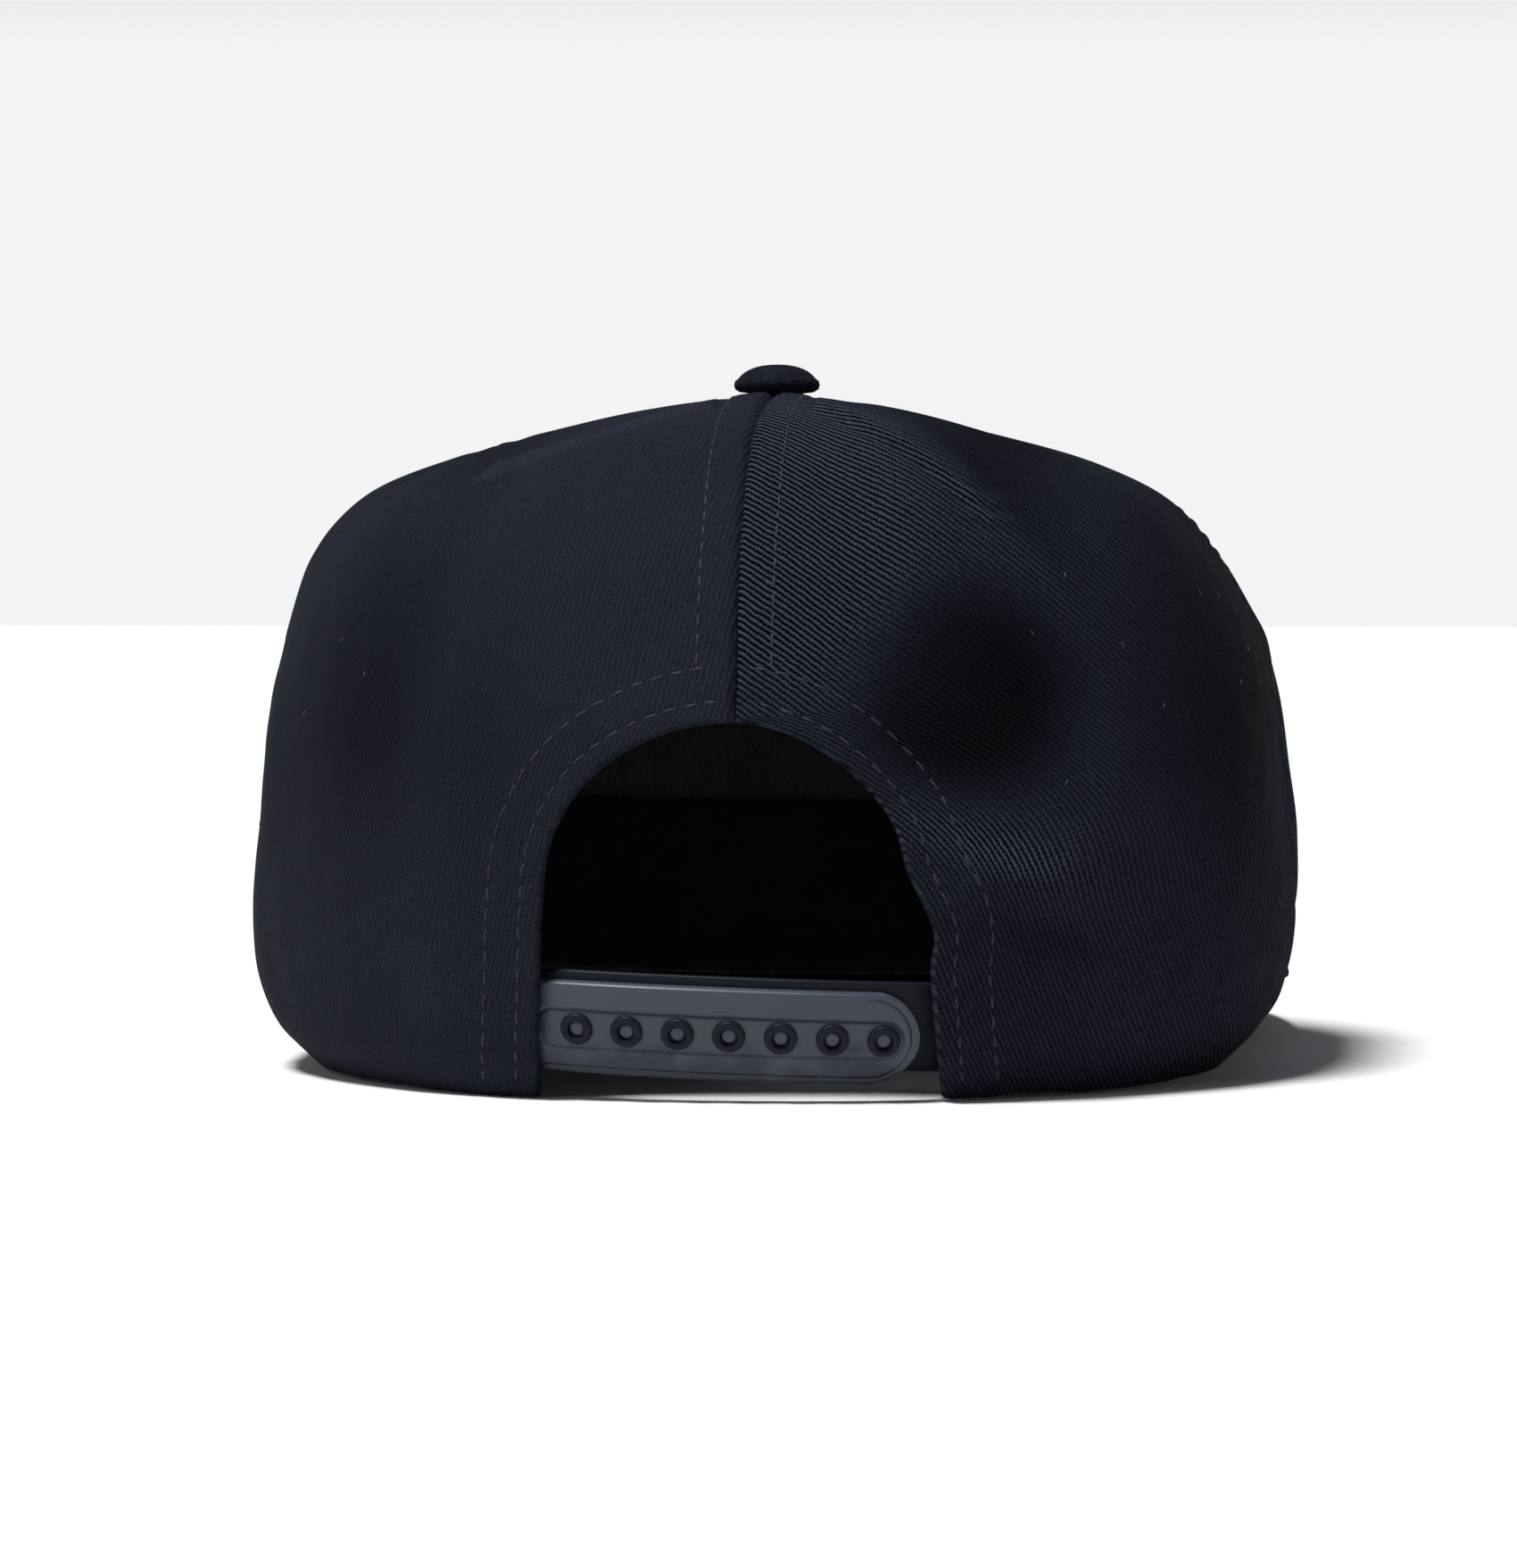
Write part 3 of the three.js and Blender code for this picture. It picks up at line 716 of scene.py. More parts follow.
def twill_material(name, depth, contrast):
    """Cotton twill: diagonal ridges cut by the weft, with fibre fuzz and painted highlights on the ridges,
    which grow with the painted light.
    """
    material, tree, shader = new_material(name)
    vector, along, across, fade = cloth_axes(tree)
    warp = noise_node(tree, vector, 0.55, 2.0)
    bent = times_plus(tree, warp, 0.5, across)
    ridge = sine(tree, times(tree, bent, math.tau / TWILL_PITCH))
    weft = sine(tree, times_plus(tree, along, math.tau / (TWILL_PITCH * 0.85), ridge))
    yarn = times_plus(tree, weft, 0.28, ridge)
    uneven = noise_node(tree, vector, 1.7)
    height = times_plus(tree, uneven, 1.1, yarn)
    fuzz = noise_node(tree, vector, 2.4, 4.0, 0.8)
    broad = noise_node(tree, vector, 0.035)
    # Painted light and shade: fade is the painted level, which lightens or darkens the colour and scales
    # the ridges' painted highlights.
    level = times_plus(tree, fade, 1 / PAINTED_LEVEL_SCALE, 1.0)
    strength = times(tree, times(tree, level, level), contrast)
    shade = times_plus(tree, yarn, strength, -0.36)
    for grain, weight in ((fuzz, 1.15), (broad, 0.2), (uneven, 0.5)):
        shade = times_plus(tree, grain, weight, shade)
    fine = bump_node(tree, fuzz, 0.00012, 0.6)
    coarse = bump_node(tree, height, depth * MM, 1.0)
    tree.links.new(fine.outputs["Normal"], coarse.inputs["Normal"])
    fill(tree, shader, {
        "Base Color": ramp_node(tree, times(tree, shade, level), 0.0, 1.0, COLORS[name]),
        "Roughness": times_plus(tree, fuzz, 0.16, 0.74),
        "Specular IOR Level": 0.03,
        "Sheen Weight": 0.008,
        "Sheen Roughness": 0.45,
        "Sheen Tint": (0.62, 0.68, 0.82, 1),
        "Normal": coarse.outputs["Normal"],
    })
    return material


def plain_weave_material(name, pitch, depth):
    """Plain woven cotton: a basket of warp and weft with soft unevenness."""
    material, tree, shader = new_material(name)
    vector, along, across, _ = cloth_axes(tree)
    warp = sine(tree, times(tree, along, math.tau / pitch))
    weft = sine(tree, times(tree, across, math.tau / pitch))
    weave = times(tree, warp, weft)
    uneven = noise_node(tree, vector, 1.2, 4.0)
    height = times_plus(tree, uneven, 1.4, weave)
    broad = noise_node(tree, vector, 0.06)
    shade = times_plus(tree, broad, 0.6, times_plus(tree, weave, 0.12, uneven))
    fill(tree, shader, {
        "Base Color": ramp_node(tree, shade, 0.35, 1.2, COLORS[name]),
        "Roughness": 0.85,
        "Specular IOR Level": 0.2,
        "Sheen Weight": 0.1,
        "Normal": bump_node(tree, height, depth * MM, 1.0).outputs["Normal"],
    })
    return material


def thread_material(name):
    """Spun thread: fine plies along each stitch, a little shinier than the cloth."""
    material, tree, shader = new_material(name)
    plies = noise_node(tree, cloth_axes(tree)[0], 4.0)
    fill(tree, shader, {
        "Base Color": ramp_node(tree, plies, 0.3, 0.75, COLORS[name]),
        "Roughness": 0.55,
        "Specular IOR Level": 0.3,
        "Sheen Weight": 0.03,
        "Normal": bump_node(tree, plies, 0.00008, 0.8).outputs["Normal"],
    })
    return material


def plastic_material(name, roughness, gloss):
    """Satin moulded plastic with a fine moulding grain, faint scuffs and painted light that lightens a
    strap towards its top.
    """
    material, tree, shader = new_material(name)
    vector, _, across, _ = cloth_axes(tree)
    grain = noise_node(tree, vector, 6.0, 4.0)
    cloud = noise_node(tree, vector, 0.12)
    # Painted light: the colour lightens with the height across a strap; collars and pegs, whose coordinates
    # are their places in millimetres, keep the lightest colour.
    shade = times_plus(tree, across, 0.05, cloud)
    fill(tree, shader, {
        "Base Color": ramp_node(tree, shade, 0.72, 1.0, COLORS[name]),
        "Roughness": times_plus(tree, cloud, 0.16, roughness),
        "Specular IOR Level": gloss,
        "Normal": bump_node(tree, grain, 0.00002, 0.5).outputs["Normal"],
    })
    return material


# Cloth coordinates, and the painted light and shade that they carry
def rear_painted_light_and_shade(azimuth, share):
    """Painted light and shade: darker in the dents, on the far right and above the darts, lighter by the
    seam, on the fold, in a narrow band on the left, near the top and along the darts' lines.
    """
    turn = signed(azimuth)
    rise = blended("Up", azimuth, share)
    right = 0.54 + 0.6 * bump(turn + 6, 17) * smoothstep(rise, 0.45, 0.75)
    dent = np.hypot((turn + 25) / 14, (rise - 0.58) / 0.17)
    right = right - 0.5 * (1 - smoothstep(dent, 0.5, 1.25))
    right = right - 0.33 * smoothstep(-turn, 36, 62) * bump(rise - 0.55, 0.34)
    right = right + 0.35 * bump(turn + 25, 9) * bump(rise - 0.35 - FOLD_LEAN * (turn - FOLD_AZIMUTH), 0.045)
    left = 1.02 - 0.62 * bump(turn - 43, 17) * bump(rise - 0.54, 0.24) + 0.1 * bump(turn - 33, 5)
    level = np.where(turn < 0, right, left) + 0.25 * smoothstep(rise, 0.9, 0.99)
    x, z = base_point(azimuth, share)[..., 0], base_point(azimuth, share)[..., 2]
    # Painted highlight along the darts' lines, and painted shade above them.
    level = level + 1.5 * bump(dart_distance(x, z), 0.8)
    reach = by_side(turn, DART_REACH)
    beyond = np.where(turn < 0, 0.38, 0.25) * (1 - smoothstep(np.abs(x), reach - 4, reach + 22))
    return level - beyond * smoothstep(z, dart_height(x) + 1.0, dart_height(x) + 6.0)


def without_painted_level(along, across):
    return np.stack([along, across, 0 * along], -1)


def twill_coordinates(u, v, angle):
    """Coordinates along and across ridges that rise at an angle, seen from outside."""
    turn = math.radians(angle)
    along = u * math.cos(turn) + v * math.sin(turn)
    across = -u * math.sin(turn) + v * math.cos(turn)
    return without_painted_level(along, across)


def right_twill(w, v):
    """The right panel's ridges, which steepen on the fold beside the opening."""
    high = smoothstep(v, *STEEP_HEIGHTS)
    plain, steep = math.radians(RIGHT_ANGLE), math.radians(STEEP_ANGLE)
    reach = STEEP_REACH * np.tanh((w - STEEP_PLACE) / STEEP_REACH)
    heights = np.linspace(-20, 220, 481)
    slopes = math.cos(steep) + (math.cos(plain) - math.cos(steep)) * smoothstep(heights, *STEEP_HEIGHTS)
    total = np.concatenate([[0], np.cumsum((slopes[1:] + slopes[:-1]) / 2 * np.diff(heights))])
    turn = (math.sin(steep) - math.sin(plain)) * (1 - high)
    across = w * math.sin(plain) + reach * turn + np.interp(v, heights, total)
    along = w * math.cos(plain) - v * math.sin(plain)
    return without_painted_level(along, across)


def flat_coordinates(azimuth, points):
    """Distance round the panel and up it, in millimetres, as if it were laid flat."""
    steps = np.linalg.norm(np.diff(points, axis=1), axis=-1)
    up = np.concatenate([np.zeros((len(points), 1)), np.cumsum(steps, 1)], 1) + points[:, :1, 2]
    radius = np.hypot(points[..., 0], points[..., 1])
    around = np.radians(azimuth) * np.maximum(radius, 0.35 * REAR_REACH)
    return around, up


# Pieces
def rear_grid(side, columns, rows):
    """Azimuth and share over one rear panel, fitted to the opening and the seams."""
    outline = arch_half_outline(side)
    start = CLOTH / 2
    outline = outline[outline[:, 1] >= start]
    foot = np.array([[outline[0, 0], start]])
    outline = np.concatenate([foot, outline])
    azimuth, share = locate_rear(outline[:, 0], outline[:, 1])
    seam = GAP / 2
    apex = share[-1]
    seam_shares = np.linspace(apex, top_share(np.zeros(1))[0], 120)[1:]
    seam_radius = radius_at(np.zeros_like(seam_shares), seam_shares)
    edge = side * np.degrees(seam / seam_radius)
    azimuth = np.concatenate([azimuth[:-1], [azimuth[-1] + side * 0.1], edge])
    share = np.concatenate([share, seam_shares])
    azimuth = side * np.maximum(side * azimuth, np.degrees(seam / REAR_REACH))
    points = base_point(azimuth, share)
    left = spread_evenly(np.concatenate([points, azimuth[:, None], share[:, None]], 1), rows)[:, 3:]
    far = SIDE_SEAM_AZIMUTH * side
    far_share = np.linspace(low_share(np.array([far]))[0], top_share(np.array([far]))[0], 200)
    far_points = base_point(np.full_like(far_share, far), far_share)
    right = spread_evenly(np.concatenate([far_points, far_share[:, None]], 1), rows)[:, 3]
    radius = radius_at(np.full(rows, far), right)
    right_azimuth = far - side * np.degrees(GAP / 2 / radius)
    t = np.linspace(0, 1, columns)[:, None]
    azimuth = left[None, :, 0] * (1 - t) + right_azimuth[None] * t
    share = left[None, :, 1] * (1 - t) + right[None] * t
    fade = np.linspace(1, 0, rows)[None] ** 3
    share = share + (low_share(azimuth[:, 0]) - share[:, 0])[:, None] * fade
    return azimuth, share


def rear_panel(name, side, columns=198, rows=236):
    azimuth, share = rear_grid(side, columns, rows)
    outer = formed_point(azimuth, share, 0.0, rear_detail(azimuth, share, side))
    inner = formed_point(azimuth, share, CLOTH)
    u, v = flat_coordinates(azimuth, outer)
    if side > 0:
        cloth = twill_coordinates(u, v, TWILL_ANGLE)
    else:
        cloth = right_twill(-u, outer[..., 2] * 0.5 + v * 0.5)
    # The third cloth coordinate carries the painted light and shade.
    cloth[..., 2] = PAINTED_LEVEL_SCALE * (rear_painted_light_and_shade(azimuth, share) - 1)
    ends = ("first", "last") if side > 0 else ("last", "first")
    rounds = {"low": CLOTH / 2, "high": 0.2, ends[0]: 0.55, ends[1]: 0.1}
    if side < 0:
        outer, inner, cloth = outer[::-1], inner[::-1], cloth[::-1]
    return shell(name, outer, inner, cloth, rounds)


def front_panel(name, columns=230, rows=150):
    far = 360 - SIDE_SEAM_AZIMUTH
    t = np.linspace(SIDE_SEAM_AZIMUTH, far, columns)[:, None]
    low, high = low_share(t[:, 0]), top_share(t[:, 0])
    share = low[:, None] + (high - low)[:, None] * np.linspace(0, 1, rows)[None]
    radius = radius_at(t + 0 * share, share)
    inset = np.degrees(GAP / 2 / radius)
    azimuth = np.clip(t + 0 * share, SIDE_SEAM_AZIMUTH + inset, far - inset)
    outer = formed_point(azimuth, share, 0.0, front_detail(azimuth, share))
    inner = formed_point(azimuth, share, CLOTH)
    u, v = flat_coordinates(azimuth - 180, outer)
    cloth = twill_coordinates(u, v, TWILL_ANGLE)
    from_seam = beyond_side_seam(azimuth, share)
    # Painted light: a lighter strip on the front panel beside each side seam, fading out between 45 and 75
    # mm up.
    cloth[..., 2] = PAINTED_LEVEL_SCALE * 0.9 * bump(from_seam - 5, 7) * (1 - smoothstep(outer[..., 2], 45, 75))
    rounds = {"low": CLOTH / 2, "high": 0.2, "first": 0.1, "last": 0.1}
    return shell(name, outer, inner, cloth, rounds)


def meridian_row(side, seam_azimuth, distance, low, detail_of, count=220):
    """A topstitch row that keeps its distance from a seam up the crown."""
    share = np.linspace(low, top_share(np.zeros(1), BUTTON_RADIUS + 1.0)[0], count)
    azimuth = np.zeros(count)
    for _ in range(3):
        azimuth = side * (seam_azimuth + np.degrees(distance / radius_at(azimuth, share)))
    return surface_row(azimuth, share, detail_of(azimuth, share))


def arch_row(side, distance):
    """A topstitch row at a distance outside the opening's edge, from the rim to the apex."""
    outline = arch_half_outline(side)
    way = unit(np.gradient(outline, axis=0))
    out = np.stack([way[:, 1], -way[:, 0]], -1) * side
    line = outline + out * distance
    line = line[(line[:, 1] > 3) & (line[:, 0] * side > 0.4)]
    azimuth, share = locate_rear(line[:, 0], line[:, 1])
    return surface_row(azimuth, share, rear_detail(azimuth, share, side))


def crown_stitches():
    rows = []
    apex = share_at_height(np.zeros(1), ARCH_SPRING_HEIGHT + ARCH_RISE + HEM_OUTER_ROW)[0]
    low_side = 0.03
    for side, topstitch in ((1, LEFT_TOPSTITCH), (-1, RIGHT_TOPSTITCH)):
        detail = lambda azimuth, share: rear_detail(azimuth, share, side)
        rows.append(meridian_row(side, 0, topstitch, apex, detail))
        rows.append(meridian_row(side, SIDE_SEAM_AZIMUTH, -SIDE_TOPSTITCH, low_side, detail))
        rows.append(meridian_row(side, SIDE_SEAM_AZIMUTH, SIDE_TOPSTITCH, low_side, front_detail))
        for distance in (HEM_INNER_ROW, HEM_OUTER_ROW):
            rows.append(arch_row(side, distance))
    made = [stitch_row(path, normal, seed=1 + number) for number, (path, normal) in enumerate(rows)]
    return join_rows("crown_stitches", made)


def lint(name, count=14):
    """Short pale fibres caught on the rear panels, most of them on the right one."""
    source = np.random.default_rng(LINT_SEED)
    rows = []
    for k in range(count):
        side = 1 if k % 4 == 0 else -1
        turn = side * source.uniform(34, 74)
        rise = source.uniform(0.2, 0.75)
        bend = source.uniform(-1, 1)
        t = np.linspace(0, 1, 8)
        azimuth = turn + 0.45 * t * source.uniform(-1, 1) + 0.25 * bend * t * (1 - t)
        share = share_at_height(azimuth, CROWN_HEIGHT * rise + 0.9 * t)
        path, normal = surface_row(azimuth, share, rear_detail(azimuth, share, side))
        length = lengths_along(path)[-1]
        rows.append(stitch_row(path + normal * 0.12, normal, 0.9 * length, 0.05 * length, 0.06, 0.05, k))
    return join_rows(name, rows)


def brim_outline(t):
    """Inner and outer edge of the brim in plan at shares t from the left end to the right end."""
    azimuth = CORNER_AZIMUTH + (360 - 2 * CORNER_AZIMUTH) * t
    foot = crown_point(azimuth, share_at_height(azimuth, rim_height(azimuth) + BRIM_THICKNESS))
    inner = np.stack(plan_place(azimuth, np.hypot(foot[:, 0], foot[:, 1]) + GAP), -1)
    corner_x, corner_y = plan_place(CORNER_AZIMUTH, plan_radius(CORNER_AZIMUTH))
    corner_x = corner_x + BRIM_SIDE_OVERHANG
    turn = math.pi * np.linspace(0, 1, 400)
    across = np.sign(np.cos(turn)) * np.abs(np.cos(turn)) ** (2 / BRIM_ROUNDNESS)
    forward = np.abs(np.sin(turn)) ** (2 / BRIM_ROUNDNESS)
    curve = np.stack([corner_x * across, corner_y + (FRONT_EDGE_Y - corner_y) * forward], -1)
    return inner, resample(curve, lengths_along(curve)[-1] * t)


def brim_surface(plan, height):
    z = brim_plane(plan[..., 1]) + height
    return np.concatenate([plan, z[..., None]], -1)


def brim(name, columns=260, rows=90):
    t = np.linspace(0, 1, columns)
    inside, outside = brim_outline(t)
    margin = 1.2
    way = outside - inside
    reach = np.linalg.norm(way, axis=1)
    outside = outside - way / reach[:, None] * margin
    s = np.linspace(0, 1, rows)[None, :, None]
    plan = inside[:, None] * (1 - s) + outside[:, None] * s
    from_edge = (reach[:, None] - margin) * (1 - s[..., 0]) + margin
    groove = sum(bump(from_edge - row, 0.5) for row in BRIM_ROWS)
    x, y = plan[..., 0], plan[..., 1]
    puff = 0.05 * waves(x, y, 9, 31) + 0.05 * waves(x, y, 30, 32)
    rise = -0.2 * groove + puff - 0.5 * bump(from_edge, 2.0)
    top = brim_surface(plan, BRIM_THICKNESS + rise)
    bottom = brim_surface(plan, 0.35 - rise)
    cloth = twill_coordinates(x, y, 40)
    rounds = {"first": 0.3, "last": 0.3, "low": 0.1, "high": margin}
    return shell(name, top, bottom, cloth, rounds, steps=6)


def brim_stitches():
    made = []
    t = np.linspace(0, 1, 500)
    inside, outside = brim_outline(t)
    way = outside - inside
    reach = np.linalg.norm(way, axis=1)
    tilt = math.radians(BRIM_TILT)
    for number, row in enumerate(BRIM_ROWS):
        plan = (outside - way / reach[:, None] * row)[reach > row + 2.5]
        up = np.tile([0.0, -math.sin(tilt), math.cos(tilt)], (len(plan), 1))
        made.append(stitch_row(brim_surface(plan, BRIM_THICKNESS - 0.16), up, seed=50 + number))
        made.append(stitch_row(brim_surface(plan, 0.51), -up, seed=70 + number))
    return join_rows("brim_stitches", made)


def button(name, sides=96):
    """Cloth gathered over a domed disc, with small pleats that run in under its edge."""
    base = CROWN_HEIGHT + GAP
    turns = np.linspace(0, math.tau, sides, endpoint=False)
    outline = [(SHANK_RADIUS, -SHANK_DEPTH), (SHANK_RADIUS, -0.2)]
    for share, height in ((0.62, -0.15), (0.86, 0.05), (0.965, 0.55), (1.0, 1.3), (0.985, 2.05)):
        outline.append((BUTTON_RADIUS * share, height))
    for turn in np.radians(np.linspace(24, 86, 14)):
        height = 0.9 + (BUTTON_HEIGHT - 0.9) * math.sin(turn) ** 1.1
        outline.append((BUTTON_RADIUS * 0.99 * math.cos(turn) ** 0.85, height))
    rings = []
    for radius, height in outline:
        pleat = 0.16 * np.sin(17 * turns + 0.6 * np.sin(3 * turns)) * bump(height - 0.6, 1.0)
        uneven = 0.07 * np.sin(5 * turns + 1) + 0.05 * np.sin(9 * turns)
        r = radius + (pleat + uneven) * (height > -1)
        rings.append(np.stack([r * np.cos(turns), r * np.sin(turns), np.full(sides, base + height)], -1))
    points = np.concatenate([*rings, [[0, 0, base - SHANK_DEPTH], [0, 0, base + BUTTON_HEIGHT]]])
    a = np.arange(sides)
    b = np.roll(a, -1)
    centre = np.full(sides, len(rings) * sides)
    last = (len(rings) - 1) * sides
    fans = np.concatenate([np.stack([b, a, centre], -1), np.stack([a + last, b + last, centre + 1], -1)])
    cloth = twill_coordinates(points[:, 0], points[:, 1] + points[:, 2], 30)
    # The button's cloth is darkened evenly through its level.
    cloth[:, 2] = -BUTTON_DARKENING * PAINTED_LEVEL_SCALE
    return make_mesh(name, points, [ring_quads(len(rings), sides), fans], cloth)


def strap_room(azimuth):
    along = np.radians(np.abs(signed(azimuth))) * REAR_REACH
    return 2 * (STRAP_THICKNESS + GAP) * (1 - smoothstep(along, STRAP_END, STRAP_END + STRAP_OVERLAP))


def sweatband(name, columns=300, rows=44):
    start = math.degrees((ARCH_FOOT_HALF_WIDTH + BAND_INSET) / REAR_REACH)
    azimuth = np.linspace(start, 360 - start, columns)[:, None] + np.zeros((1, rows))
    up = np.linspace(0, 1, rows)[None]
    height = rim_height(azimuth) + BAND_LIFT + 0.6 + (BAND_HEIGHT - 0.6) * up
    share = share_at_height(azimuth, height)
    depth = CLOTH + BAND_CLEARANCE + strap_room(azimuth)
    u = np.radians(azimuth) * REAR_REACH
    soft = 0.12 * waves(u, height, 16, 41) * smoothstep(up, 0, 0.2)
    roll = 0.35 * bump(up * BAND_HEIGHT - 2.5, 2.5) - 0.25 * bump(up * BAND_HEIGHT - 6.5, 0.6)
    outer = formed_point(azimuth, share, depth)
    inner = formed_point(azimuth, share, depth + BAND_THICKNESS + soft + roll)
    cloth = without_painted_level(u, height)
    rounds = {"low": 0.5, "high": 0.3, "first": 0.3, "last": 0.3}
    return shell(name, outer, inner, cloth, rounds)


# The snap closure
SOCKET_TIP = STRAP_END_CLEARANCE - ARCH_FOOT_HALF_WIDTH
FIRST_SNAP = SOCKET_TIP + SNAP_END_MARGIN
SNAP_STEPS = int((ARCH_HALF_WIDTH - COLLAR_RADIUS - FIRST_SNAP) / SNAP_PITCH)
SNAP_PLACES = tuple(FIRST_SNAP + SNAP_PITCH * k for k in range(SNAP_STEPS + 1))
SNAP_HEIGHT = STRAP_LIFT + STRAP_WIDTH / 2


def strap_point(along, height, depth):
    azimuth = np.degrees(np.asarray(along, float) / REAR_REACH)
    return crown_point(azimuth, share_at_height(azimuth, height + along * STRAP_SLOPE), depth)


def socket_face(along, height):
    """Relief of the outer strap's face: a lower border strip and a long recess round the snaps."""
    half = STRAP_WIDTH / 2
    end_centre = SOCKET_TIP + half
    beyond = np.minimum(along - end_centre, 0)
    rise = height - SNAP_HEIGHT
    edge = half - np.hypot(beyond, rise)
    low = 1 - smoothstep(rise, 2.0, 4.0) * smoothstep(along - end_centre, -2.0, 2.0)
    border = low * (-0.3 * (1 - smoothstep(edge, 1.2, 1.4)) - 0.4 * bump(edge - 1.42, 0.22))
    straight = smoothstep(along, end_centre - 4, end_centre)
    bevel = -STRAP_BEVEL * smoothstep(rise, half - STRAP_BEVEL, half) * straight
    past = np.minimum(along - FIRST_SNAP, 0) + np.maximum(along - FIRST_SNAP - CHANNEL_LENGTH, 0)
    beside = np.hypot(past, rise) - CHANNEL_HALF_WIDTH
    upper = smoothstep(rise, -1.5, 1.5)
    recess = -0.3 * (1 - smoothstep(beside, 0, 0.2)) - 0.5 * upper * bump(beside, 0.22)
    holes = np.zeros(np.broadcast(along, height).shape)
    for place in SNAP_PLACES:
        holes = holes - 0.7 * (1 - smoothstep(np.hypot(along - place, rise), 1.6, 2.0))
    return border + bevel + recess + holes


def peg_face(along, height):
    return 0 * along


def strap(name, square, tip, layer, face_of, columns=320, rows=76, lift=0.0):
    half = STRAP_WIDTH / 2
    way = math.copysign(1, tip - square)
    turns = np.radians(np.linspace(6, 90, 40))
    body = np.linspace(tip - way * half, square, columns - len(turns) + 1)[1:]
    along = np.concatenate([tip - way * half * (1 - np.cos(turns)), body])
    halves = np.concatenate([half * np.sin(turns), np.full(len(body), half)])
    if way > 0:
        along, halves = along[::-1], halves[::-1]
    edge_round = 0.4
    share = np.linspace(-1, 1, rows)[None]
    height = SNAP_HEIGHT + np.maximum(halves - edge_round, 0.05)[:, None] * share
    along = along[:, None] + 0 * share
    top = CLOTH + GAP + layer * (STRAP_THICKNESS + GAP)
    face = face_of(along, height)
    outer = strap_point(along, height + lift, top - face)
    inner = strap_point(along, height + lift, top + STRAP_THICKNESS)
    cloth = without_painted_level(along, height)
    rounds = {side: edge_round for side in ("low", "high", "first", "last")}
    return shell(name, outer, inner, cloth, rounds, steps=6)


def socket_strap(name):
    return strap(name, STRAP_END, SOCKET_TIP, 0, socket_face)


def peg_strap(name):
    return strap(name, -STRAP_END, PEG_STRAP_TIP, 1, peg_face, 160, 24, PEG_STRAP_LIFT)


def lathe_at(along, profile, sides):
    """Points and faces of a turned form on the closure's face; profile is radius against depth."""
    low = strap_point(along, SNAP_HEIGHT, 0.0)
    deep = strap_point(along, SNAP_HEIGHT, 1.0)
    out = unit(low - deep)
    side = unit(np.cross([0.0, 0.0, 1.0], out))
    up = np.cross(out, side)
    turns = np.linspace(0, math.tau, sides, endpoint=False)
    rings = []
    for radius, depth in profile:
        ring = radius * (np.cos(turns)[:, None] * side + np.sin(turns)[:, None] * up)
        rings.append(low - out * depth + ring)
    return np.concatenate(rings), ring_quads(len(rings), sides)


def snap_collars(name):
    """Raised rings round the holes of the outer strap."""
    face = CLOTH + GAP
    outline = []
    for turn in np.linspace(0, math.tau, 17)[:-1]:
        round_x = math.copysign(abs(math.cos(turn)) ** 0.85, math.cos(turn))
        round_y = math.copysign(abs(math.sin(turn)) ** 0.85, math.sin(turn))
        depth = face + COLLAR_SINK - (COLLAR_RISE + COLLAR_SINK) * round_y
        outline.append((COLLAR_MIDDLE + COLLAR_TUBE * round_x, depth))
    sides = 32
    count = len(outline)
    faces = ring_quads(count + 1, sides) % (count * sides)
    return join_rows(name, [(lathe_at(place, outline, sides)[0], faces) for place in SNAP_PLACES])


def snap_pegs(name):
    """Round heads of the inner strap's pegs, a little below the collars' rims."""
    head = CLOTH + GAP + PEG_RECESS - PEG_HEAD_RISE
    stem = CLOTH + 2 * GAP + STRAP_THICKNESS + 0.4
    outline = [(0.02, stem), (PEG_RADIUS, stem)]
    for share, below in ((1, 0.35), (0.94, 0.12), (0.7, 0.03), (0.35, 0)):
        outline.append((PEG_RADIUS * share, head + below))
    outline.append((0.02, head))
    return join_rows(name, [lathe_at(place, outline, 24) for place in SNAP_PLACES])


# Stage
def floor():
    mesh = bpy.data.meshes.new("floor")
    corners = [(x * FLOOR_REACH, y * FLOOR_REACH, 0) for x, y in ((-1, -1), (1, -1), (1, 1), (-1, 1))]
    mesh.from_pydata(corners, [], [(0, 1, 2, 3)])
    made = new_object("floor", mesh)
    material, tree, shader = new_material("pale_floor")
    fill(tree, shader, {"Base Color": FLOOR_COLOR, "Roughness": 0.6})
    mesh.materials.append(material)


def aimed_object(name, data, place, way, axis="-Z"):
    """A light or camera at a place, with its own axis turned along a way."""
    made = new_object(name, data)
    made.location = Vector(place)
    made.rotation_mode = "QUATERNION"
    made.rotation_quaternion = way.to_track_quat(axis, "Y")
    return made


def fill_light():
    data = bpy.data.lights.new("fill", "AREA")
    data.shape = "DISK"
    data.size = FILL_SIZE
    data.energy = FILL_POWER
    data.color = FILL_COLOR
    aimed_object("fill", data, FILL_FROM, Vector(FILL_TARGET) - Vector(FILL_FROM))


def world_light():
    """A pale band round the horizon under a dimmer studio."""
    world = bpy.data.worlds.new("pale_studio")
    world.use_nodes = True
    tree = world.node_tree
    place = tree.nodes.new("ShaderNodeTexCoord")
    split = tree.nodes.new("ShaderNodeSeparateXYZ")
    tree.links.new(place.outputs["Generated"], split.inputs[0])
    color = ramp_node(tree, split.outputs["Z"], 0.09, 0.2, ((1.0, 1.0, 1.0), (0.09, 0.095, 0.105)))
    fill(tree, tree.nodes["Background"], {"Color": color, "Strength": WORLD_STRENGTH})
    bpy.context.scene.world = world


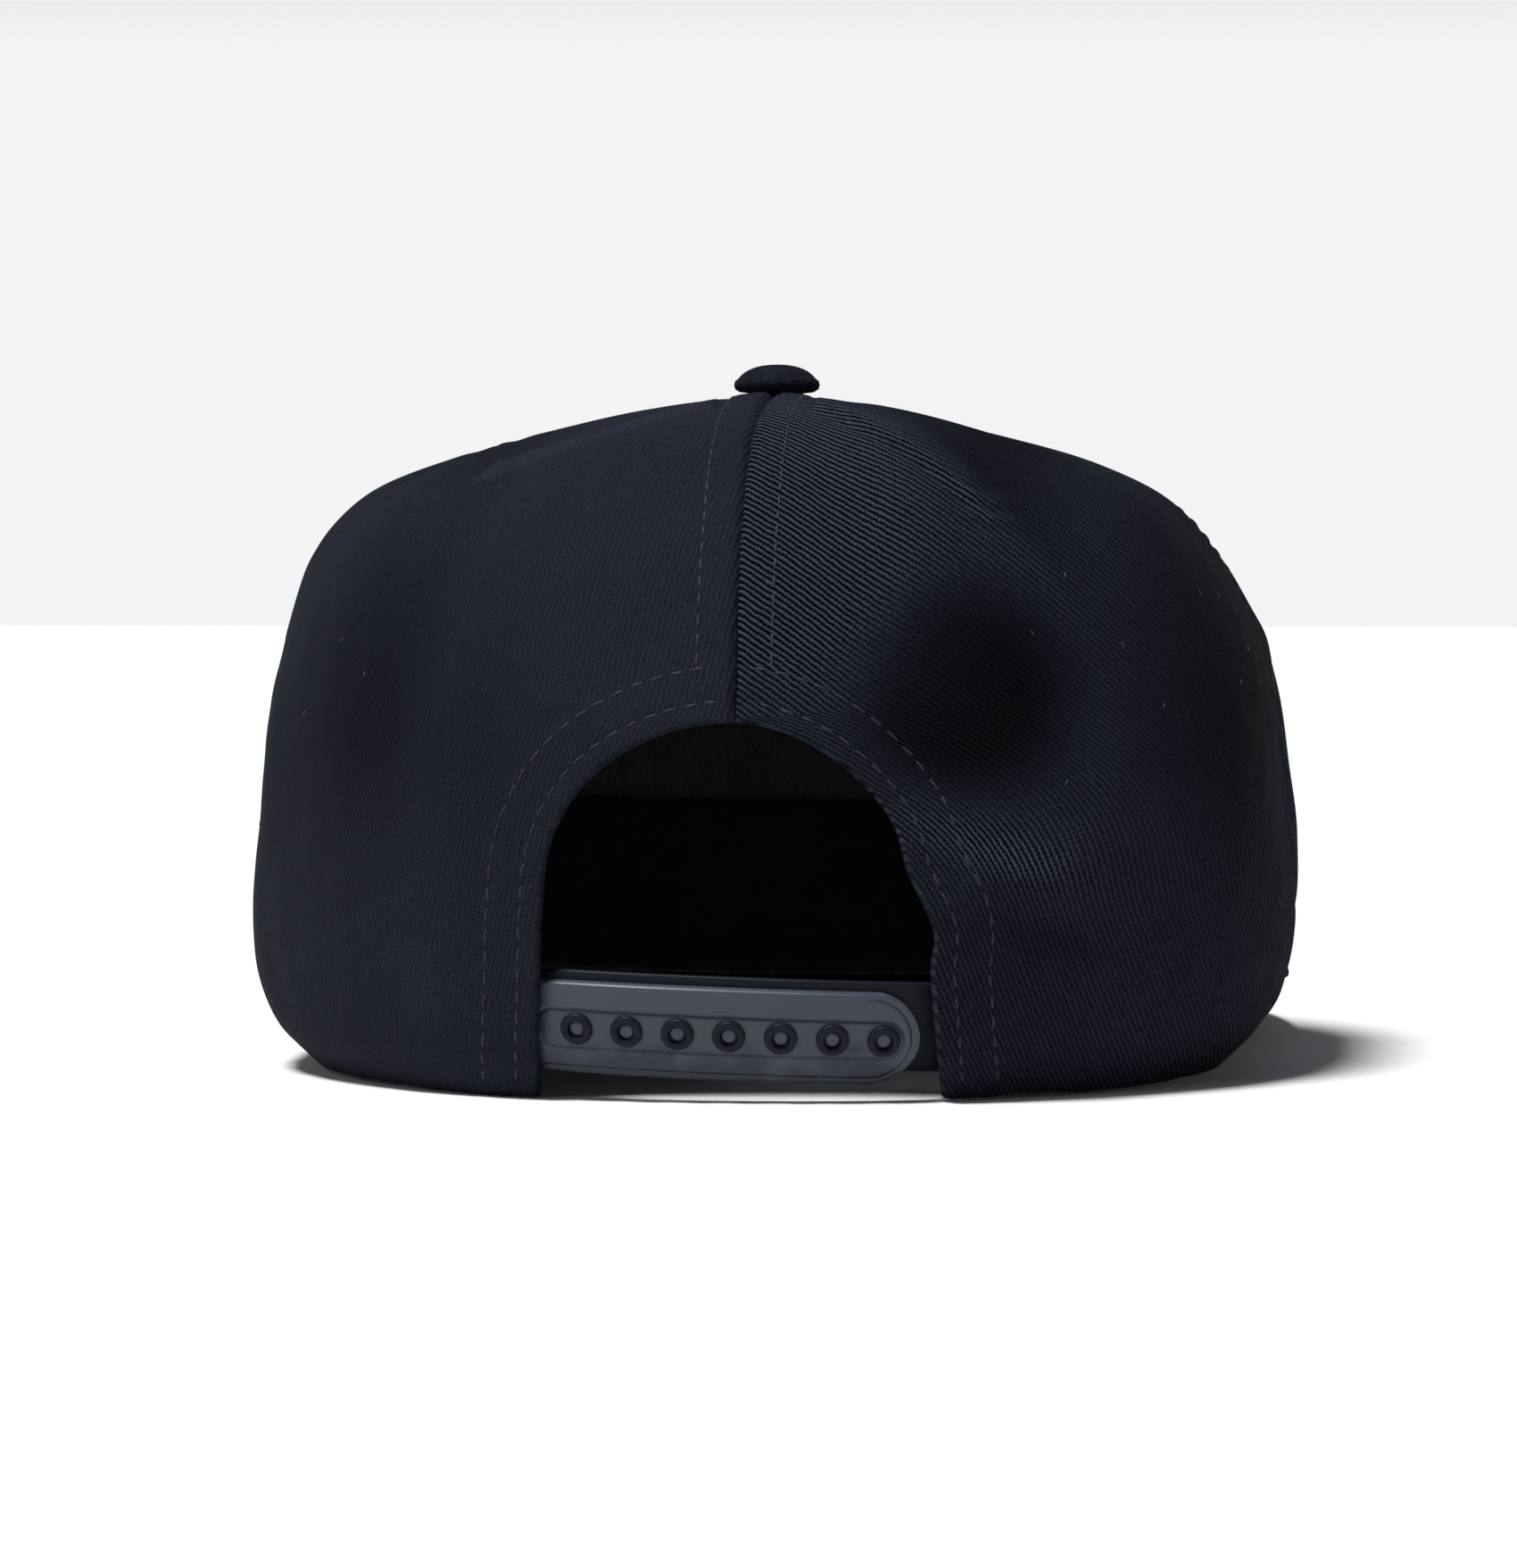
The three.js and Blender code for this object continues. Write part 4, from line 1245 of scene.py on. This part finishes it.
def sun_light():
    data = bpy.data.lights.new("sun", "SUN")
    data.energy = SUN_STRENGTH
    data.angle = math.radians(SUN_ANGLE)
    aimed_object("sun", data, (0, 0, 0), Vector(SUN_FROM), "Z")


def camera():
    data = bpy.data.cameras.new("camera")
    data.sensor_fit = "AUTO"
    data.sensor_width = 36.0
    data.lens = FOCAL_PX / PHOTO_HEIGHT_PX * data.sensor_width
    data.clip_start = 0.01
    turn = math.radians(CAMERA_AZIMUTH)
    upward = Vector((0, 0, 1))
    away = Vector((math.sin(turn), -math.cos(turn), 0))
    right = (-away).cross(upward)
    pitch = math.atan((PHOTO_HEIGHT_PX / 2 - HORIZON_PX) / FOCAL_PX)
    place = away * CAMERA_DISTANCE - right * CAMERA_SIDE + upward * CAMERA_HEIGHT
    look = -away * math.cos(pitch) - upward * math.sin(pitch)
    bpy.context.scene.camera = aimed_object("camera", data, Vector(ORIGIN) + place * MM, look)


def finish_piece(made, slot, materials, *nodes):
    for material in materials:
        made.data.materials.append(material)
    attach(made, "root")
    if nodes:
        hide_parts(*nodes)


def main():
    bpy.context.scene.view_settings.view_transform = "Standard"
    camera()
    world_light()
    sun_light()
    fill_light()
    floor()
    # Both twills are one cloth: the right copy's lighter colours and strong ridge contrast are painted
    # highlights where light rakes its ridges.
    left_twill = twill_material("left_twill", 0.06, 0.06)
    right_twill_painted_highlights = twill_material("right_twill", 0.3, 0.95)
    inner = plain_weave_material("inner_cloth", 0.8, 0.06)
    lining = plain_weave_material("front_inner_cloth", 0.8, 0.06)
    band_cloth = plain_weave_material("band_cloth", 0.7, 0.05)
    thread = thread_material("thread")
    plastic = plastic_material("strap_plastic", 0.32, 0.36)
    # Painted shade: the collars and the inner strap take a darker copy of the strap's plastic.
    shaded_plastic = plastic_material("painted_shade_plastic", 0.4, 0.12)
    for piece in (
        (front_panel("front_panel_cloth"), "crown_cloth", (left_twill, lining), "front_panel"),
        (rear_panel("left_panel_cloth", 1), "crown_cloth", (left_twill, inner), "left_panel"),
        (rear_panel("right_panel_cloth", -1), "crown_cloth", (right_twill_painted_highlights, inner), "right_panel"),
        (crown_stitches(), "crown_cloth", (thread,)),
        (lint("lint_fibres"), "crown_cloth", (thread_material("lint"),)),
        (button("button_cloth"), "crown_cloth", (left_twill,), "button"),
        (brim("brim_cloth"), "brim_cloth", (left_twill, left_twill), "brim"),
        (brim_stitches(), "brim_cloth", (thread,)),
        (sweatband("sweatband_cloth"), "band_cloth", (band_cloth, band_cloth), "sweatband"),
        (socket_strap("socket_strap_plastic"), "strap_plastic", (plastic, plastic), "socket_strap"),
        (peg_strap("peg_strap_plastic"), "strap_plastic", (shaded_plastic, shaded_plastic), "peg_strap"),
        (snap_collars("snap_collars"), "strap_plastic", (shaded_plastic,)),
        (snap_pegs("snap_pegs"), "strap_plastic", (plastic,)),
    ):
        finish_piece(*piece)


main()
